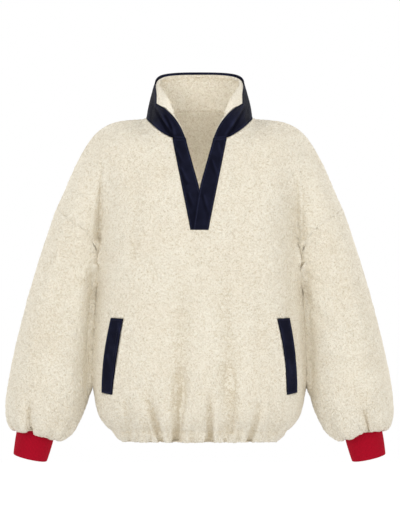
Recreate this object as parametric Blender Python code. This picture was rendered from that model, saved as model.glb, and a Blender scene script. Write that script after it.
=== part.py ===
"""A sherpa fleece pullover, filled out as when it is worn: front, back, two drop-shoulder sleeves,
a stand collar with a fleece facing, a half placket of two woven strips, two pocket welts and two
ribbed cuffs. Every piece is its own closed solid, and the pieces meet edge to edge at the seams.

Frame: +Z up, -Y is the wearer's front, +X is the wearer's left. The origin lies between the
shoulders, level with the points where the shoulder seams meet the collar. Sizes are in
millimetres, and are turned into metres where a mesh is made.
"""

import math
from collections import namedtuple

import bpy
import numpy as np
from mathutils import Vector
from mathutils.bvhtree import BVHTree

METRE_PER_MM = 0.001

# Cloth.
FLEECE = 6.0  # wall of the double-faced fleece, pile included
CASING = 8.5  # wall where the hem is turned up over the elastic
COLLAR_CLOTH = 1.5
FACING_TOP = 1.8  # depth below the skin at which the collar's fleece facing starts
STRIP_CLOTH = 1.6
OVER_STRIP_DEPTH = 1.2  # depth below the skin of the placket's upper strip
UNDER_STRIP_DEPTH = 3.2  # and of the strip under it
SEAM_HALF_GAP = 0.2

# Heights of the garment's marks.
HEM_Z = -614.0
CASING_Z = -593.0
GATHER_Z = -470.0  # the hem's gathers die out above this
UNDERARM_Z = -300.0
SHOULDER_TIP_Z = -171.0
NECK_FRONT_Z = -39.0
NECK_BACK_Z = 13.0
NECK_SIDE_X = 101.6
CREASE_TOP_X = 199.0
CREASE_TOP_Z = -27.0
SLIT_HALF_WIDTH = 17.0  # of the placket's opening, at its lower end
SLIT_TOP_X = 52.0
SLIT_INNER_TOP_X = 26.0  # where the strips' free edges reach the neck seam
STRIPS_CROSS_Z = -132.0
LEFT_STRIP_FOOT_X = 12.5  # how far past the middle each strip's free edge reaches at its foot
RIGHT_STRIP_FOOT_X = 14.0
STRIP_COLUMNS = 3
STRIP_EASE = 3.0  # how much the free edges ease back from the collar's ends

CREASE_FADE_Z = -80.0  # the crease at the armpit shows below this
CREASE_FOOT_Z = -160.0  # below this the crease at the armpit stays sharp
RELAX_ROUNDS = 3
BODY_CURVE = 2.7  # exponents of the rounded sections
ARM_CURVE = 2.2
SHOULDER_BLEND = 26.0  # rounding between the body and the arm, at the shoulder
SHOULDER_BLEND_RISE = 260.0  # height above the underarm over which it grows
NECK_REACH = 0.55  # share of the height above which a panel is drawn to the neck seam's depth

HEM_PUFF = 4.5  # how far the cloth stands out between the gathers
WRIST_PUFF = 3.0
SIDE_CALM = 60.0  # folds fade out this near to the side seam
STITCH_DEPTH = 2.2  # of the line that holds the hem's casing
STITCH_SPREAD = 5.0
FOLD_SPREAD = 0.6  # how much wider a trough is at its high end
FOLLOW = 0.4  # how much of a fold the wall's inner side follows

# How far along each row the columns of a body panel stand, from the centre to the side.
COLUMN_SHARES = (0.0, 0.09, 0.20, 0.31, 0.42, 0.52, 0.62, 0.72, 0.81, 0.89, 0.955, 1.0)
NECK_COLUMN = 6  # the column that ends where the shoulder seam meets the neck
SIDE_COLUMN = len(COLUMN_SHARES) - 1
ARM_COLUMNS = 4  # the most columns between the armpit's crease and the armhole seam
ARMHOLE_ROWS = 9
SHOULDER_ROWS = 6
UPPER_ROWS = ARMHOLE_ROWS + SHOULDER_ROWS
SLIT_ROW = 5  # the upper row on which the placket's opening ends
LOWER_ROWS_Z = (-330.0, -364.0, -400.0, -436.0, -470.0)
GATHERED_ROWS_Z = (-498.0, -524.0, -548.0, -568.0, -583.0, -593.0, -603.0, HEM_Z)
FINE_SPLIT = 3  # a column of the plain body becomes this many where the hem is gathered

SLEEVE_COLUMNS = 2 * ARMHOLE_ROWS
SLEEVE_ROWS_Z = (-345.0, -390.0, -435.0, -478.0)
BLEND_RINGS = 4  # steps from the armhole seam down to the sleeve's first level ring
FIRST_END_RING = BLEND_RINGS + len(SLEEVE_ROWS_Z)
COLLAR_ROWS = 4
RIBS = 32


class Table:
    """Rows of named numbers, read between the rows along a smooth curve that never overshoots."""

    def __init__(self, names, rows):
        rows = np.array(rows, float)
        order = np.argsort(rows[:, 0])
        self.at = rows[order, 0]
        self.columns = {name: rows[order, i] for i, name in enumerate(names) if i}
        self.slopes = {name: self._slopes(v) for name, v in self.columns.items()}

    def _slopes(self, values):
        step = np.diff(self.at)
        rise = np.diff(values) / step
        slopes = np.concatenate([[rise[0]], np.zeros(len(rise) - 1), [rise[-1]]])
        for i in range(1, len(rise)):
            if rise[i - 1] * rise[i] > 0:
                before = 2 * step[i] + step[i - 1]
                after = step[i] + 2 * step[i - 1]
                slopes[i] = (before + after) / (before / rise[i - 1] + after / rise[i])
        return slopes

    def __call__(self, name, at):
        values, slopes = self.columns[name], self.slopes[name]
        at = min(max(at, self.at[0]), self.at[-1])
        i = min(int(np.searchsorted(self.at, at, side="right")) - 1, len(self.at) - 2)
        step = self.at[i + 1] - self.at[i]
        t = (at - self.at[i]) / step
        return float(
            values[i] * (1 + 2 * t) * (1 - t) ** 2
            + slopes[i] * step * t * (1 - t) ** 2
            + values[i + 1] * t * t * (3 - 2 * t)
            + slopes[i + 1] * step * t * t * (t - 1)
        )


# Level sections of the body without the arms.
TORSO = Table(
    ("z", "half_width", "front", "back"),
    [
        (-614, 155, 104, 98),
        (-603, 163, 111, 105),
        (-593, 170, 118, 112),
        (-583, 178, 126, 119),
        (-565, 191, 136, 129),
        (-530, 199, 144, 136),
        (-480, 202, 146, 138),
        (-400, 199, 143, 137),
        (-345, 195, 140, 136),
        (-312, 193.0, 138, 136),
        (-300, 194.15, 137, 136),
        (-240, 191, 132, 135),
        (-171, 190, 124, 132),
        (-118, 191, 112, 126),
        (-84, 193.5, 99, 117),
        (-61, 196.5, 87, 107),
        (-39, 200, 74, 94),
        (-27, 199, 64, 85),
        (-15, 182, 53, 76),
        (-4.5, 156, 44, 68),
        (0, 101.6, 40, 65),
        (13, 100, 36, 62),
    ],
)

# Level sections of the upper arm and sleeve: the outline's outer and inner x, and the half depth.
ARM = Table(
    ("z", "outer", "inner", "depth"),
    [
        (-517, 366.0, 206.5, 87),
        (-480, 361.5, 205.5, 87),
        (-431, 350.5, 202.5, 85),
        (-390, 340.5, 200.5, 82),
        (-345, 328.7, 197.0, 79),
        (-312, 319.0, 195.3, 76),
        (-300, 315.4, 194.15, 75),
        (-283, 310.3, 189.0, 74),
        (-240, 296.5, 183.0, 71),
        (-171, 272.6, 174.0, 65),
        (-118, 249.0, 160.0, 58),
        (-84, 234.7, 148.0, 52),
        (-61, 222.0, 136.0, 45),
        (-39, 208.5, 122.0, 36),
        (-27, 199.0, 112.0, 28),
    ],
)

# The balloon sleeve's gathered end, in rings square to the forearm, down to the tuck over the cuff:
# each ring's centre, half width, half depth, tilt in degrees, share of the gathers and of the wall.
Ring = namedtuple("Ring", "x z half_width half_depth tilt gathering wall")
SLEEVE_END = (
    Ring(286.2, -517.0, 79.8, 87.0, 0.0, 0.10, 1.0),
    Ring(289.5, -538.0, 78.5, 86.0, 2.0, 0.30, 1.0),
    Ring(294.7, -562.0, 73.5, 81.0, 4.0, 0.60, 1.0),
    Ring(300.0, -582.0, 66.0, 73.0, 6.6, 0.90, 1.0),
    Ring(304.5, -595.5, 56.0, 62.0, 9.0, 1.00, 1.0),
    Ring(308.5, -601.5, 46.5, 50.0, 11.5, 0.80, 0.8),
    Ring(311.0, -599.0, 38.5, 39.5, 13.0, 0.25, 0.6),
    Ring(309.5, -591.0, 36.9, 36.9, 13.8, 0.0, 0.5),
)

# The shoulder's outline from the neck to the tip of the drop shoulder, by height.
RIDGE = Table(
    ("z", "x"),
    [
        (-171, 272.6),
        (-140, 259.0),
        (-118, 249.0),
        (-84, 234.7),
        (-61, 222.0),
        (-39, 208.5),
        (-27, 199.0),
        (-15, 182.0),
        (-4.5, 156.0),
        (0, 101.6),
    ],
)

# The height of the armhole seam round the arm: 0 degrees is the outside, 180 the underarm.
ARMHOLE = Table(
    ("angle", "z"),
    [
        (0, -171),
        (20, -173),
        (40, -179),
        (60, -187),
        (80, -197),
        (100, -209),
        (120, -225),
        (140, -248),
        (160, -282),
        (180, -300),
    ],
)

# The neck seam from the placket's strip round to the centre back.
NECK = (
    (SLIT_TOP_X, -74.0, NECK_FRONT_Z),
    (66.0, -67.0, -31.5),
    (78.5, -55.5, -22.5),
    (89.0, -40.0, -13.5),
    (97.0, -21.5, -6.0),
    (NECK_SIDE_X, 0.0, 0.0),
    (99.5, 20.0, 3.0),
    (90.0, 38.5, 6.5),
    (74.0, 52.0, 9.5),
    (51.5, 60.5, 11.5),
    (26.0, 64.5, 12.6),
    (0.0, 65.5, NECK_BACK_Z),
)
FRONT_NECK = NECK[: NECK_COLUMN]
BACK_NECK = NECK[: NECK_COLUMN - 2 : -1]

# The collar's upper edge from the front corner to the centre back.
COLLAR_TOP = (
    (82.0, -71.0, 25.0),
    (82.5, -62.0, 32.5),
    (82.5, -49.0, 40.0),
    (82.8, -35.0, 47.5),
    (83.8, -20.0, 55.0),
    (84.8, -4.0, 62.0),
    (84.5, 12.0, 69.0),
    (81.0, 28.0, 76.0),
    (72.0, 42.5, 81.5),
    (57.5, 52.5, 84.5),
    (39.0, 58.0, 86.0),
    (20.0, 60.5, 86.5),
    (0.0, 61.5, 86.5),
)
COLLAR_FOOT = ((SLIT_INNER_TOP_X, -78.5, NECK_FRONT_Z - 1.0),) + NECK
COLLAR_ROLL = 10.0  # how far the open front edge bows towards the middle
COLLAR_ROUND = 2.5  # how far the rest bows outwards

# Soft troughs on the body panels, from a low end to a high one. A ridge has a negative depth.
Fold = namedtuple("Fold", "low_x low_z high_x high_z width depth")
FRONT_FOLDS = (
    Fold(-127, HEM_Z, -142, -515, 11, 9),
    Fold(-99, HEM_Z, -101, -560, 8, 7),
    Fold(-73, HEM_Z, -97, -505, 10, 11),
    Fold(-45, HEM_Z, -34, -450, 11, 11),
    Fold(-14, HEM_Z, -16, -565, 8, 7),
    Fold(21, HEM_Z, 19, -520, 9, 13),
    Fold(47, HEM_Z, 57, -450, 11, 9),
    Fold(74, HEM_Z, 76, -562, 8, 7),
    Fold(98, HEM_Z, 114, -520, 10, 11),
    Fold(128, HEM_Z, 146, -530, 11, 9),
    Fold(-38, -590, -31, -360, 20, 5),
    Fold(52, -590, 58, -360, 21, 5),
    Fold(8, -560, 10, -430, 26, -4),
    Fold(166, -430, 166, -110, 15, 4),
    Fold(132, -420, 130, -100, 18, -3),
    Fold(-122, -175, -120, -45, 16, 3),
    Fold(-70, -105, -78, -30, 9, 3),
    Fold(72, -120, 80, -30, 9, 3),
    Fold(112, -120, 106, -50, 11, 2.5),
)
BACK_FOLDS = (
    Fold(-132, HEM_Z, -150, -525, 11, 9),
    Fold(-104, HEM_Z, -110, -555, 8, 8),
    Fold(-76, HEM_Z, -84, -500, 10, 11),
    Fold(-46, HEM_Z, -50, -562, 8, 7),
    Fold(-20, HEM_Z, -12, -480, 10, 11),
    Fold(10, HEM_Z, 12, -560, 8, 8),
    Fold(38, HEM_Z, 30, -510, 10, 10),
    Fold(68, HEM_Z, 74, -540, 9, 9),
    Fold(98, HEM_Z, 112, -500, 10, 11),
    Fold(129, HEM_Z, 144, -545, 10, 8),
    Fold(-16, -590, -8, -350, 22, 5),
    Fold(104, -590, 112, -330, 20, 4),
    Fold(-108, -560, -112, -300, 22, 4),
    Fold(150, -330, 168, -130, 17, 4),
    Fold(-150, -330, -168, -130, 17, 4),
    Fold(0, -110, 0, -20, 34, -3),
)

# Troughs along a sleeve, at an angle round it: 0 degrees is the outside, 90 the front.
SleeveFold = namedtuple("SleeveFold", "angle low_z high_z width depth")
RIGHT_SLEEVE_FOLDS = (
    SleeveFold(84, -470, -200, 17, 5),
    SleeveFold(124, -500, -240, 15, -3),
    SleeveFold(60, -560, -470, 12, 3),
    SleeveFold(262, -480, -230, 18, 5),
    SleeveFold(225, -520, -300, 16, 3),
    SleeveFold(310, -540, -330, 16, 3),
)
LEFT_SLEEVE_FOLDS = (
    SleeveFold(78, -520, -330, 18, 5),
    SleeveFold(115, -420, -220, 14, 3),
    SleeveFold(50, -350, -210, 14, -3),
    SleeveFold(268, -500, -250, 18, 5),
    SleeveFold(232, -400, -220, 15, 3),
    SleeveFold(305, -560, -380, 15, 3),
)

# Gathers round a sleeve's end, with their angle and width in degrees.
Gather = namedtuple("Gather", "angle width depth")
RIGHT_GATHERS = (
    Gather(20, 13, 8),
    Gather(76, 11, 15),
    Gather(112, 12, 6),
    Gather(146, 12, 8),
    Gather(184, 12, 8),
    Gather(226, 13, 10),
    Gather(270, 12, 11),
    Gather(318, 14, 9),
)
LEFT_GATHERS = (
    Gather(28, 13, 7),
    Gather(92, 12, 15),
    Gather(58, 11, 6),
    Gather(138, 13, 8),
    Gather(178, 12, 8),
    Gather(216, 12, 9),
    Gather(256, 13, 12),
    Gather(302, 14, 9),
)

# The ribbed cuffs, along their axis from the hidden top to the lower edge.
CUFF_TOP = (309.0, -588.0)
CUFF_END = (321.8, -645.0)
CUFF_TILT = 13.4
CUFF_TOP_RADIUS = 36.3
CUFF_END_RADIUS = 32.6
CUFF_WALL = 3.0
RIB_HEIGHT = 0.7
CUFF_STATIONS = (0.0, 0.06, 0.94, 1.0)

# The pocket welts: their centre line in front view, from the top to the foot.
WELT_TOP = (157.5, -380.0)
WELT_MIDDLE = (169.5, -452.0)
WELT_FOOT = (173.5, -523.0)
WELT_WIDTH = 29.0  # round the cloth
WELT_CLOTH = 1.6
WELT_LIFT = 0.7
WELT_COLUMNS = 4
WELT_ROWS = 12

CREAM = (0.80, 0.73, 0.60)
NAVY = (0.012, 0.014, 0.035)
RED = (0.42, 0.004, 0.018)


def soft_max(a, b, blend):
    """The larger of two depths, with the corner between them rounded over blend."""
    near = max(blend - abs(a - b), 0.0) / max(blend, 1e-6)
    return max(a, b) + near * near * blend / 4


def rounded(share, curve):
    """The height of a rounded unit section at this share of its half width."""
    return max(0.0, 1.0 - min(1.0, abs(share)) ** curve) ** (1 / curve)


def arm_section(z):
    """The centre and half width of the arm at this height."""
    outer, inner = ARM("outer", z), ARM("inner", z)
    return (outer + inner) / 2, (outer - inner) / 2


def body_depth(x, z, face):
    """How far the body's skin lies from the middle plane: face is "front" or "back"."""
    torso = TORSO(face, z) * rounded(x / TORSO("half_width", z), BODY_CURVE)
    if z <= UNDERARM_Z:
        return torso
    centre, half = arm_section(z)
    arm = ARM("depth", z) * rounded((x - centre) / half, ARM_CURVE)
    blend = SHOULDER_BLEND * min(1.0, (z - UNDERARM_Z) / SHOULDER_BLEND_RISE) ** 2.2
    return soft_max(torso, arm, blend)


def arm_point(angle, z):
    """A point round the arm: 0 degrees is the outside, 90 the front, 270 the back."""
    centre, half = arm_section(z)
    c, s = math.cos(math.radians(angle)), math.sin(math.radians(angle))
    x = centre + half * math.copysign(abs(c) ** (2 / ARM_CURVE), c)
    face = "front" if s >= 0 else "back"
    if z > UNDERARM_Z:
        x = max(x, crease_x(z) + 1.5)
        depth = body_depth(x, z, face)
    else:
        depth = ARM("depth", z) * abs(s) ** (2 / ARM_CURVE)
    return Vector((x, -math.copysign(depth, s) if abs(s) > 1e-9 else 0.0, z))


def armhole_points(face):
    """The armhole seam on one face, from the underarm to the shoulder's tip."""
    turn = 1 if face == "front" else -1
    angles = [180 - 180 * j / ARMHOLE_ROWS for j in range(ARMHOLE_ROWS + 1)]
    points = [arm_point(turn * a % 360, ARMHOLE("z", a)) for a in angles]
    points[0].y = points[-1].y = 0.0
    return points


def crease_x(z):
    """Where the crease between the body and the arm lies, at its deepest."""
    if z >= CREASE_TOP_Z:
        return CREASE_TOP_X
    low, high = ARM("inner", z), TORSO("half_width", z)
    x = (low + high) / 2
    if z <= UNDERARM_Z:
        return x
    centre, half = arm_section(z)
    for _ in range(40):
        x = (low + high) / 2
        torso = TORSO("front", z) * rounded(x / TORSO("half_width", z), BODY_CURVE)
        arm = ARM("depth", z) * rounded((x - centre) / half, ARM_CURVE)
        if torso > arm:
            low = x
        else:
            high = x
    return x


def crease_share(face, z):
    """How far round a quarter of the body's section the crease lies: 1 is the side seam."""
    depth = body_depth(crease_x(z), z, face) if z > UNDERARM_Z else 0.0
    share = min(1.0, depth / TORSO(face, z))
    return 2 / math.pi * math.acos(share ** (BODY_CURVE / 2))


def ridge_points():
    """The shoulder seam from the neck to the crease's top, and on from the shoulder's tip to it."""
    inner = []
    for i in range(NECK_COLUMN, SIDE_COLUMN + 1):
        share = (i - NECK_COLUMN) / (SIDE_COLUMN - NECK_COLUMN)
        x = NECK_SIDE_X + (CREASE_TOP_X - NECK_SIDE_X) * share
        z = ridge_height(x)
        inner.append(Vector((x, 0.0, z)))
    outer = []
    for j in range(1, SHOULDER_ROWS + 1):
        z = SHOULDER_TIP_Z + (CREASE_TOP_Z - SHOULDER_TIP_Z) * j / SHOULDER_ROWS
        outer.append(Vector((RIDGE("x", z), 0.0, z)))
    return inner, outer


def ridge_height(x):
    """The height of the shoulder's outline at this x, by halving."""
    low, high = SHOULDER_TIP_Z, 0.0
    for _ in range(40):
        z = (low + high) / 2
        if RIDGE("x", z) > x:
            low = z
        else:
            high = z
    return (low + high) / 2


def top_points(face):
    """The upper edge of a panel: the neckline, then the shoulder seam up to the crease's top."""
    neck = FRONT_NECK if face == "front" else BACK_NECK
    neck = [Vector(p) for p in neck]
    inner, _ = ridge_points()
    if face == "front":
        return [None] + neck + inner[1:]
    return neck + inner[1:]


def upper_half(face):
    """Rows of one half of a body panel, from the underarm's level up to the neck and shoulder."""
    tops = top_points(face)
    seam = armhole_points(face)
    _, ridge = ridge_points()
    ends = seam + ridge
    way = -1.0 if face == "front" else 1.0
    rows = []
    for j in range(UPPER_ROWS + 1):
        t = j / UPPER_ROWS
        row = []
        edge_z = UNDERARM_Z + (CREASE_TOP_Z - UNDERARM_Z) * t
        edge_x = crease_x(edge_z) if j else ends[0].x
        first = 1 if face == "front" and j > SLIT_ROW else 0
        for i in range(first, SIDE_COLUMN + 1):
            row.append(upper_point(face, way, tops, i, j, edge_x))
        extra = min(j, ARM_COLUMNS, UPPER_ROWS - j)
        crease = row[-1]
        for k in range(1, extra):
            row.append(arm_side_point(face, way, crease, ends[j], k / extra))
        if extra:
            row.append(ends[j].copy())
        if j == 0:
            row[-1] = ends[0].copy()
        rows.append(row)
    even_out_shoulder(face, way, rows)
    return rows


def even_out_shoulder(face, way, rows):
    """Space the free points between the crease and the armhole evenly, then lay them on the skin."""
    extra = [min(j, ARM_COLUMNS, UPPER_ROWS - j) for j in range(UPPER_ROWS + 1)]
    crease = [len(row) - 1 - extra[j] for j, row in enumerate(rows)]
    for _ in range(40):
        for j in range(2, UPPER_ROWS - 1):
            for k in range(1, extra[j]):
                below = rows[j - 1][crease[j - 1] + min(k, extra[j - 1])]
                above = rows[j + 1][crease[j + 1] + min(k, extra[j + 1])]
                i = crease[j] + k
                rows[j][i] = (rows[j][i - 1] + rows[j][i + 1] + below + above) / 4
    for j in range(2, UPPER_ROWS - 1):
        for k in range(1, extra[j]):
            point = rows[j][crease[j] + k]
            point.y = way * body_depth(point.x, point.z, face)


def upper_point(face, way, tops, i, j, edge_x):
    """The point of column i on upper row j, between the middle and the crease."""
    t = j / UPPER_ROWS
    if j == UPPER_ROWS:
        return tops[i].copy()
    top = tops[i] or Vector((0.0, 0.0, NECK_FRONT_Z))
    z = UNDERARM_Z + (top.z - UNDERARM_Z) * t
    column = 1 if face == "front" else 0
    start = slit_x(z) if face == "front" else 0.0
    reach = crease_share(face, UNDERARM_Z + (CREASE_TOP_Z - UNDERARM_Z) * t)
    begin = lower_point(face, way, COLUMN_SHARES[column] * reach, UNDERARM_Z).x
    place = lower_point(face, way, COLUMN_SHARES[i] * reach, UNDERARM_Z).x
    low = (place - begin) / (lower_point(face, way, reach, UNDERARM_Z).x - begin)
    high = (top.x - tops[column].x) / (tops[SIDE_COLUMN].x - tops[column].x)
    if i == 0:
        x = 0.0
    else:
        x = start + (edge_x - start) * (low + (high - low) * t)
    y = way * body_depth(x, z, face)
    miss = top.y - way * body_depth(top.x, top.z, face)
    if i <= NECK_COLUMN and i >= column:
        y += miss * near_neck(t) ** 2
    return Vector((x, y, z))


def near_neck(t):
    """From 0, well below the neck seam, to 1 at it."""
    return max(0.0, (t - NECK_REACH) / (1 - NECK_REACH))


def slit_x(z):
    """The placket opening's edge in front view."""
    foot = UNDERARM_Z + (NECK_FRONT_Z - UNDERARM_Z) * SLIT_ROW / UPPER_ROWS
    if z <= foot:
        return SLIT_HALF_WIDTH
    return SLIT_HALF_WIDTH + (SLIT_TOP_X - SLIT_HALF_WIDTH) * (z - foot) / (NECK_FRONT_Z - foot)


def arm_side_point(face, way, crease, end, share):
    """A point between the crease and the armhole or shoulder seam."""
    x = crease.x + (end.x - crease.x) * math.sin(share * math.pi / 2) ** 0.9
    z = crease.z + (end.z - crease.z) * share
    return Vector((x, way * body_depth(x, z, face), z))


def lower_rows(face):
    """Rows of one half of a body panel from just below the underarm to the hem."""
    way = -1.0 if face == "front" else 1.0
    rows = []
    for z in LOWER_ROWS_Z:
        rows.append([lower_point(face, way, s, z) for s in COLUMN_SHARES])
    fine = []
    for a, b in zip(COLUMN_SHARES, COLUMN_SHARES[1:]):
        fine += [a + (b - a) * k / FINE_SPLIT for k in range(FINE_SPLIT)]
    for z in GATHERED_ROWS_Z:
        rows.append([lower_point(face, way, s, z) for s in fine + [1.0]])
    return rows


def lower_point(face, way, share, z):
    """A point of a level section, with the shares stretched so that they run round the side."""
    half, depth = TORSO("half_width", z), TORSO(face, z)
    turn = share * math.pi / 2
    x = half * math.sin(turn) ** (2 / BODY_CURVE) if share else 0.0
    y = depth * math.cos(turn) ** (2 / BODY_CURVE) if share < 1 else 0.0
    spread = half * share
    x = x + (spread - x) * max(0.0, 1 - share * 1.15)
    y = depth * rounded(x / half, BODY_CURVE) if share < 1 else 0.0
    return Vector((x, way * y, z))


class Skin:
    """The garment's outer skin before it is cut into pieces: shared points, and faces by piece."""

    def __init__(self):
        self.points = []
        self.index = {}
        self.faces = {}
        self.notes = {}
        self.creases = {}

    def add(self, point, note=None):
        key = tuple(round(v * 200) for v in point)
        if key not in self.index:
            self.index[key] = len(self.points)
            self.points.append(Vector(point))
        i = self.index[key]
        if note is not None:
            self.notes[i] = note
        return i

    def strip(self, piece, low, high):
        """Faces between two rows of point numbers, by their share along each row."""
        faces = self.faces.setdefault(piece, [])
        if len(low) == len(high):
            for i in range(len(low) - 1):
                faces.append((low[i], low[i + 1], high[i + 1], high[i]))
            return
        a = b = 0
        while a < len(low) - 1 or b < len(high) - 1:
            next_a = (a + 1) / (len(low) - 1) if a < len(low) - 1 else 2.0
            next_b = (b + 1) / (len(high) - 1) if b < len(high) - 1 else 2.0
            if next_a <= next_b:
                faces.append((low[a], low[a + 1], high[b]))
                a += 1
            else:
                faces.append((low[a], high[b + 1], high[b]))
                b += 1

    def relax(self, pieces, rounds):
        """Even out the free points near the shoulders towards their neighbours."""
        beside = {}
        fixed = set()
        for piece, faces in self.faces.items():
            fixed |= {i for edge in boundary_of(faces) for i in edge}
            if piece in pieces:
                for face in faces:
                    for a, b in zip(face, face[1:] + face[:1]):
                        beside.setdefault(a, set()).add(b)
                        beside.setdefault(b, set()).add(a)
        for _ in range(rounds):
            moved = {}
            for i, near in beside.items():
                rise = self.points[i].z - CREASE_FOOT_Z
                if i in fixed or rise < 0:
                    continue
                middle = sum((self.points[k] for k in near), Vector((0, 0, 0))) / len(near)
                moved[i] = self.points[i].lerp(middle, 0.5 * min(1.0, rise / 90))
            for i, point in moved.items():
                self.points[i] = point

    def split(self):
        """Cut every four-sided face across its shorter way, so that layers on it cut alike."""
        for piece, faces in self.faces.items():
            cut = []
            for face in faces:
                if len(face) == 3:
                    cut.append(face)
                    continue
                a, b, c, d = (self.points[i] for i in face)
                if (a - c).length < (b - d).length - 1e-4:
                    cut += [(face[0], face[1], face[2]), (face[0], face[2], face[3])]
                else:
                    cut += [(face[0], face[1], face[3]), (face[1], face[2], face[3])]
            self.faces[piece] = cut

    def normals(self):
        """Outward directions at the points, averaged over every piece that meets there."""
        total = [Vector((0, 0, 0)) for _ in self.points]
        for faces in self.faces.values():
            for face in faces:
                a, b, c = (self.points[i] for i in face)
                across = (b - a).cross(c - a)
                for i in face:
                    total[i] += across
        return [n.normalized() if n.length > 1e-9 else Vector((0, 0, 1)) for n in total]


def level_hem(skin, normals):
    """Near the hem the wall's thickness and the gathers are turned level, so its edge stays flat."""
    for i, point in enumerate(skin.points):
        if abs(point.x) < CREASE_TOP_X - 10 and point.z < CASING_Z + 30:
            flat = min(1.0, (CASING_Z + 30 - point.z) / 30)
            way = normals[i].copy()
            way.z *= 1 - flat
            normals[i] = way.normalized()


def open_creases(skin, normals):
    """Down in the armpit's crease the wall is built straight in, clear of both of its sides."""
    for i, way in skin.creases.items():
        share = min(1.0, max(0.0, (CREASE_FADE_Z - skin.points[i].z) / 60))
        normals[i] = normals[i].lerp(Vector((0, way, -0.15)), share).normalized()


def even_neck_seam(skin, normals):
    """The wall's direction turns evenly along the neck seam, so the walls there don't twist."""
    half = [Vector(p) for p in NECK]
    chain = [skin.add(mirrored(p, -1)) for p in half] + [skin.add(p) for p in half[-2::-1]]
    for _ in range(4):
        before = [normals[i].copy() for i in chain]
        for k in range(1, len(chain) - 1):
            normals[chain[k]] = (before[k - 1] + before[k] * 2 + before[k + 1]).normalized()


def mirrored(point, side):
    return Vector((side * point.x, point.y, point.z))


def stitched_row(skin, half_row, first_column):
    """Point numbers of a whole row: both halves, joined in the middle where it has a middle."""
    right = [skin.add(mirrored(p, -1)) for p in reversed(half_row)]
    left = [skin.add(p) for p in half_row]
    if first_column == 0:
        return [right[:-1] + left]
    return [right, left]


def add_body_panel(skin, face):
    """The front or the back, from the hem to the neck and shoulders."""
    upper = upper_half(face)
    rows = list(reversed(lower_rows(face))) + upper
    for j in range(1, UPPER_ROWS):
        crease = upper[j][len(upper[j]) - 1 - min(j, ARM_COLUMNS, UPPER_ROWS - j)]
        for side in (-1, 1):
            skin.creases[skin.add(mirrored(crease, side))] = -1 if face == "front" else 1
    split = len(rows) - len(upper) + SLIT_ROW + 1 if face == "front" else len(rows)
    previous = None
    for number, half_row in enumerate(rows):
        parts = stitched_row(skin, half_row, 0 if number < split else 1)
        if previous is not None:
            if len(parts) == 1:
                join_rows(skin, face, previous[0], parts[0])
            elif len(previous) == 1:
                middle = len(previous[0]) // 2
                join_rows(skin, face, previous[0][:middle], parts[0])
                join_rows(skin, face, previous[0][middle + 1 :], parts[1])
            else:
                join_rows(skin, face, previous[0], parts[0])
                join_rows(skin, face, previous[1], parts[1])
        previous = parts


def join_rows(skin, face, low, high):
    """Faces between two rows of a body panel, wound so that they face out."""
    grown = len(high) - len(low)
    if grown and abs(grown) <= 2:
        join_ends(skin, face, low, high)
        return
    if face == "front":
        skin.strip(face, low, high)
    else:
        skin.strip(face, low[::-1], high[::-1])


def join_ends(skin, face, low, high):
    """Two rows of which one has a point more at each free end: plain faces, then end triangles."""
    grows = len(high) > len(low)
    short, long_row = (low, high) if grows else (high, low)
    at_start = len(long_row) - len(short) == 2 or skin.points[short[0]].x < 0
    at_end = len(long_row) - len(short) == 2 or not at_start
    shift = 1 if at_start else 0
    made = []
    for i in range(len(short) - 1):
        pair = (short[i], short[i + 1])
        beside = (long_row[i + shift], long_row[i + 1 + shift])
        made.append((*pair, *beside[::-1]) if grows else (*beside, *pair[::-1]))
    if at_start:
        corner = (short[0], long_row[1], long_row[0])
        made.append(corner if grows else corner[::-1])
    if at_end:
        corner = (short[-1], long_row[-1], long_row[-2])
        made.append(corner if grows else corner[::-1])
    skin.faces.setdefault(face, []).extend(made if face == "front" else [f[::-1] for f in made])


def sleeve_rows():
    """Rings of a sleeve from the armhole seam to the tuck over the cuff, as lists of points."""
    step = 360 / SLEEVE_COLUMNS
    angles = [i * step for i in range(SLEEVE_COLUMNS)]
    top = []
    for angle in angles:
        fold = angle if angle <= 180 else 360 - angle
        point = arm_point(angle, ARMHOLE("z", fold))
        if fold in (0, 180):
            point.y = 0.0
        top.append(point)
    rows = [top]
    first_ring = SLEEVE_ROWS_Z[0]
    for k in range(1, BLEND_RINGS):
        share = k / BLEND_RINGS
        rows.append([arm_point(a, p.z + (first_ring - p.z) * share) for a, p in zip(angles, top)])
    for z in SLEEVE_ROWS_Z:
        rows.append([arm_point(a, z) for a in angles])
    fine = [i * step / 2 for i in range(2 * SLEEVE_COLUMNS)]
    for ring in SLEEVE_END:
        rows.append([end_point(a, ring) for a in fine])
    return rows


def end_point(angle, ring):
    """A point of a tilted ring near the wrist. The ring's outer side is the higher one."""
    c, s = math.cos(math.radians(angle)), math.sin(math.radians(angle))
    along = ring.half_width * math.copysign(abs(c) ** (2 / ARM_CURVE), c)
    depth = ring.half_depth * math.copysign(abs(s) ** (2 / ARM_CURVE), s)
    lean = math.radians(ring.tilt)
    return Vector((ring.x + along * math.cos(lean), -depth, ring.z + along * math.sin(lean)))


def add_sleeve(skin, piece, side):
    """A sleeve's skin: rings joined from the armhole down, wider meshed where it is gathered."""
    previous = None
    for ring_number, ring in enumerate(sleeve_rows()):
        numbers = []
        for k, point in enumerate(ring):
            angle = 360 * k / len(ring)
            numbers.append(skin.add(mirrored(point, side), (ring_number, angle)))
        numbers.append(numbers[0])
        if previous is not None:
            low, high = (numbers, previous)
            if side > 0:
                low, high = low[::-1], high[::-1]
            skin.strip(piece, low, high)
        previous = numbers


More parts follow.
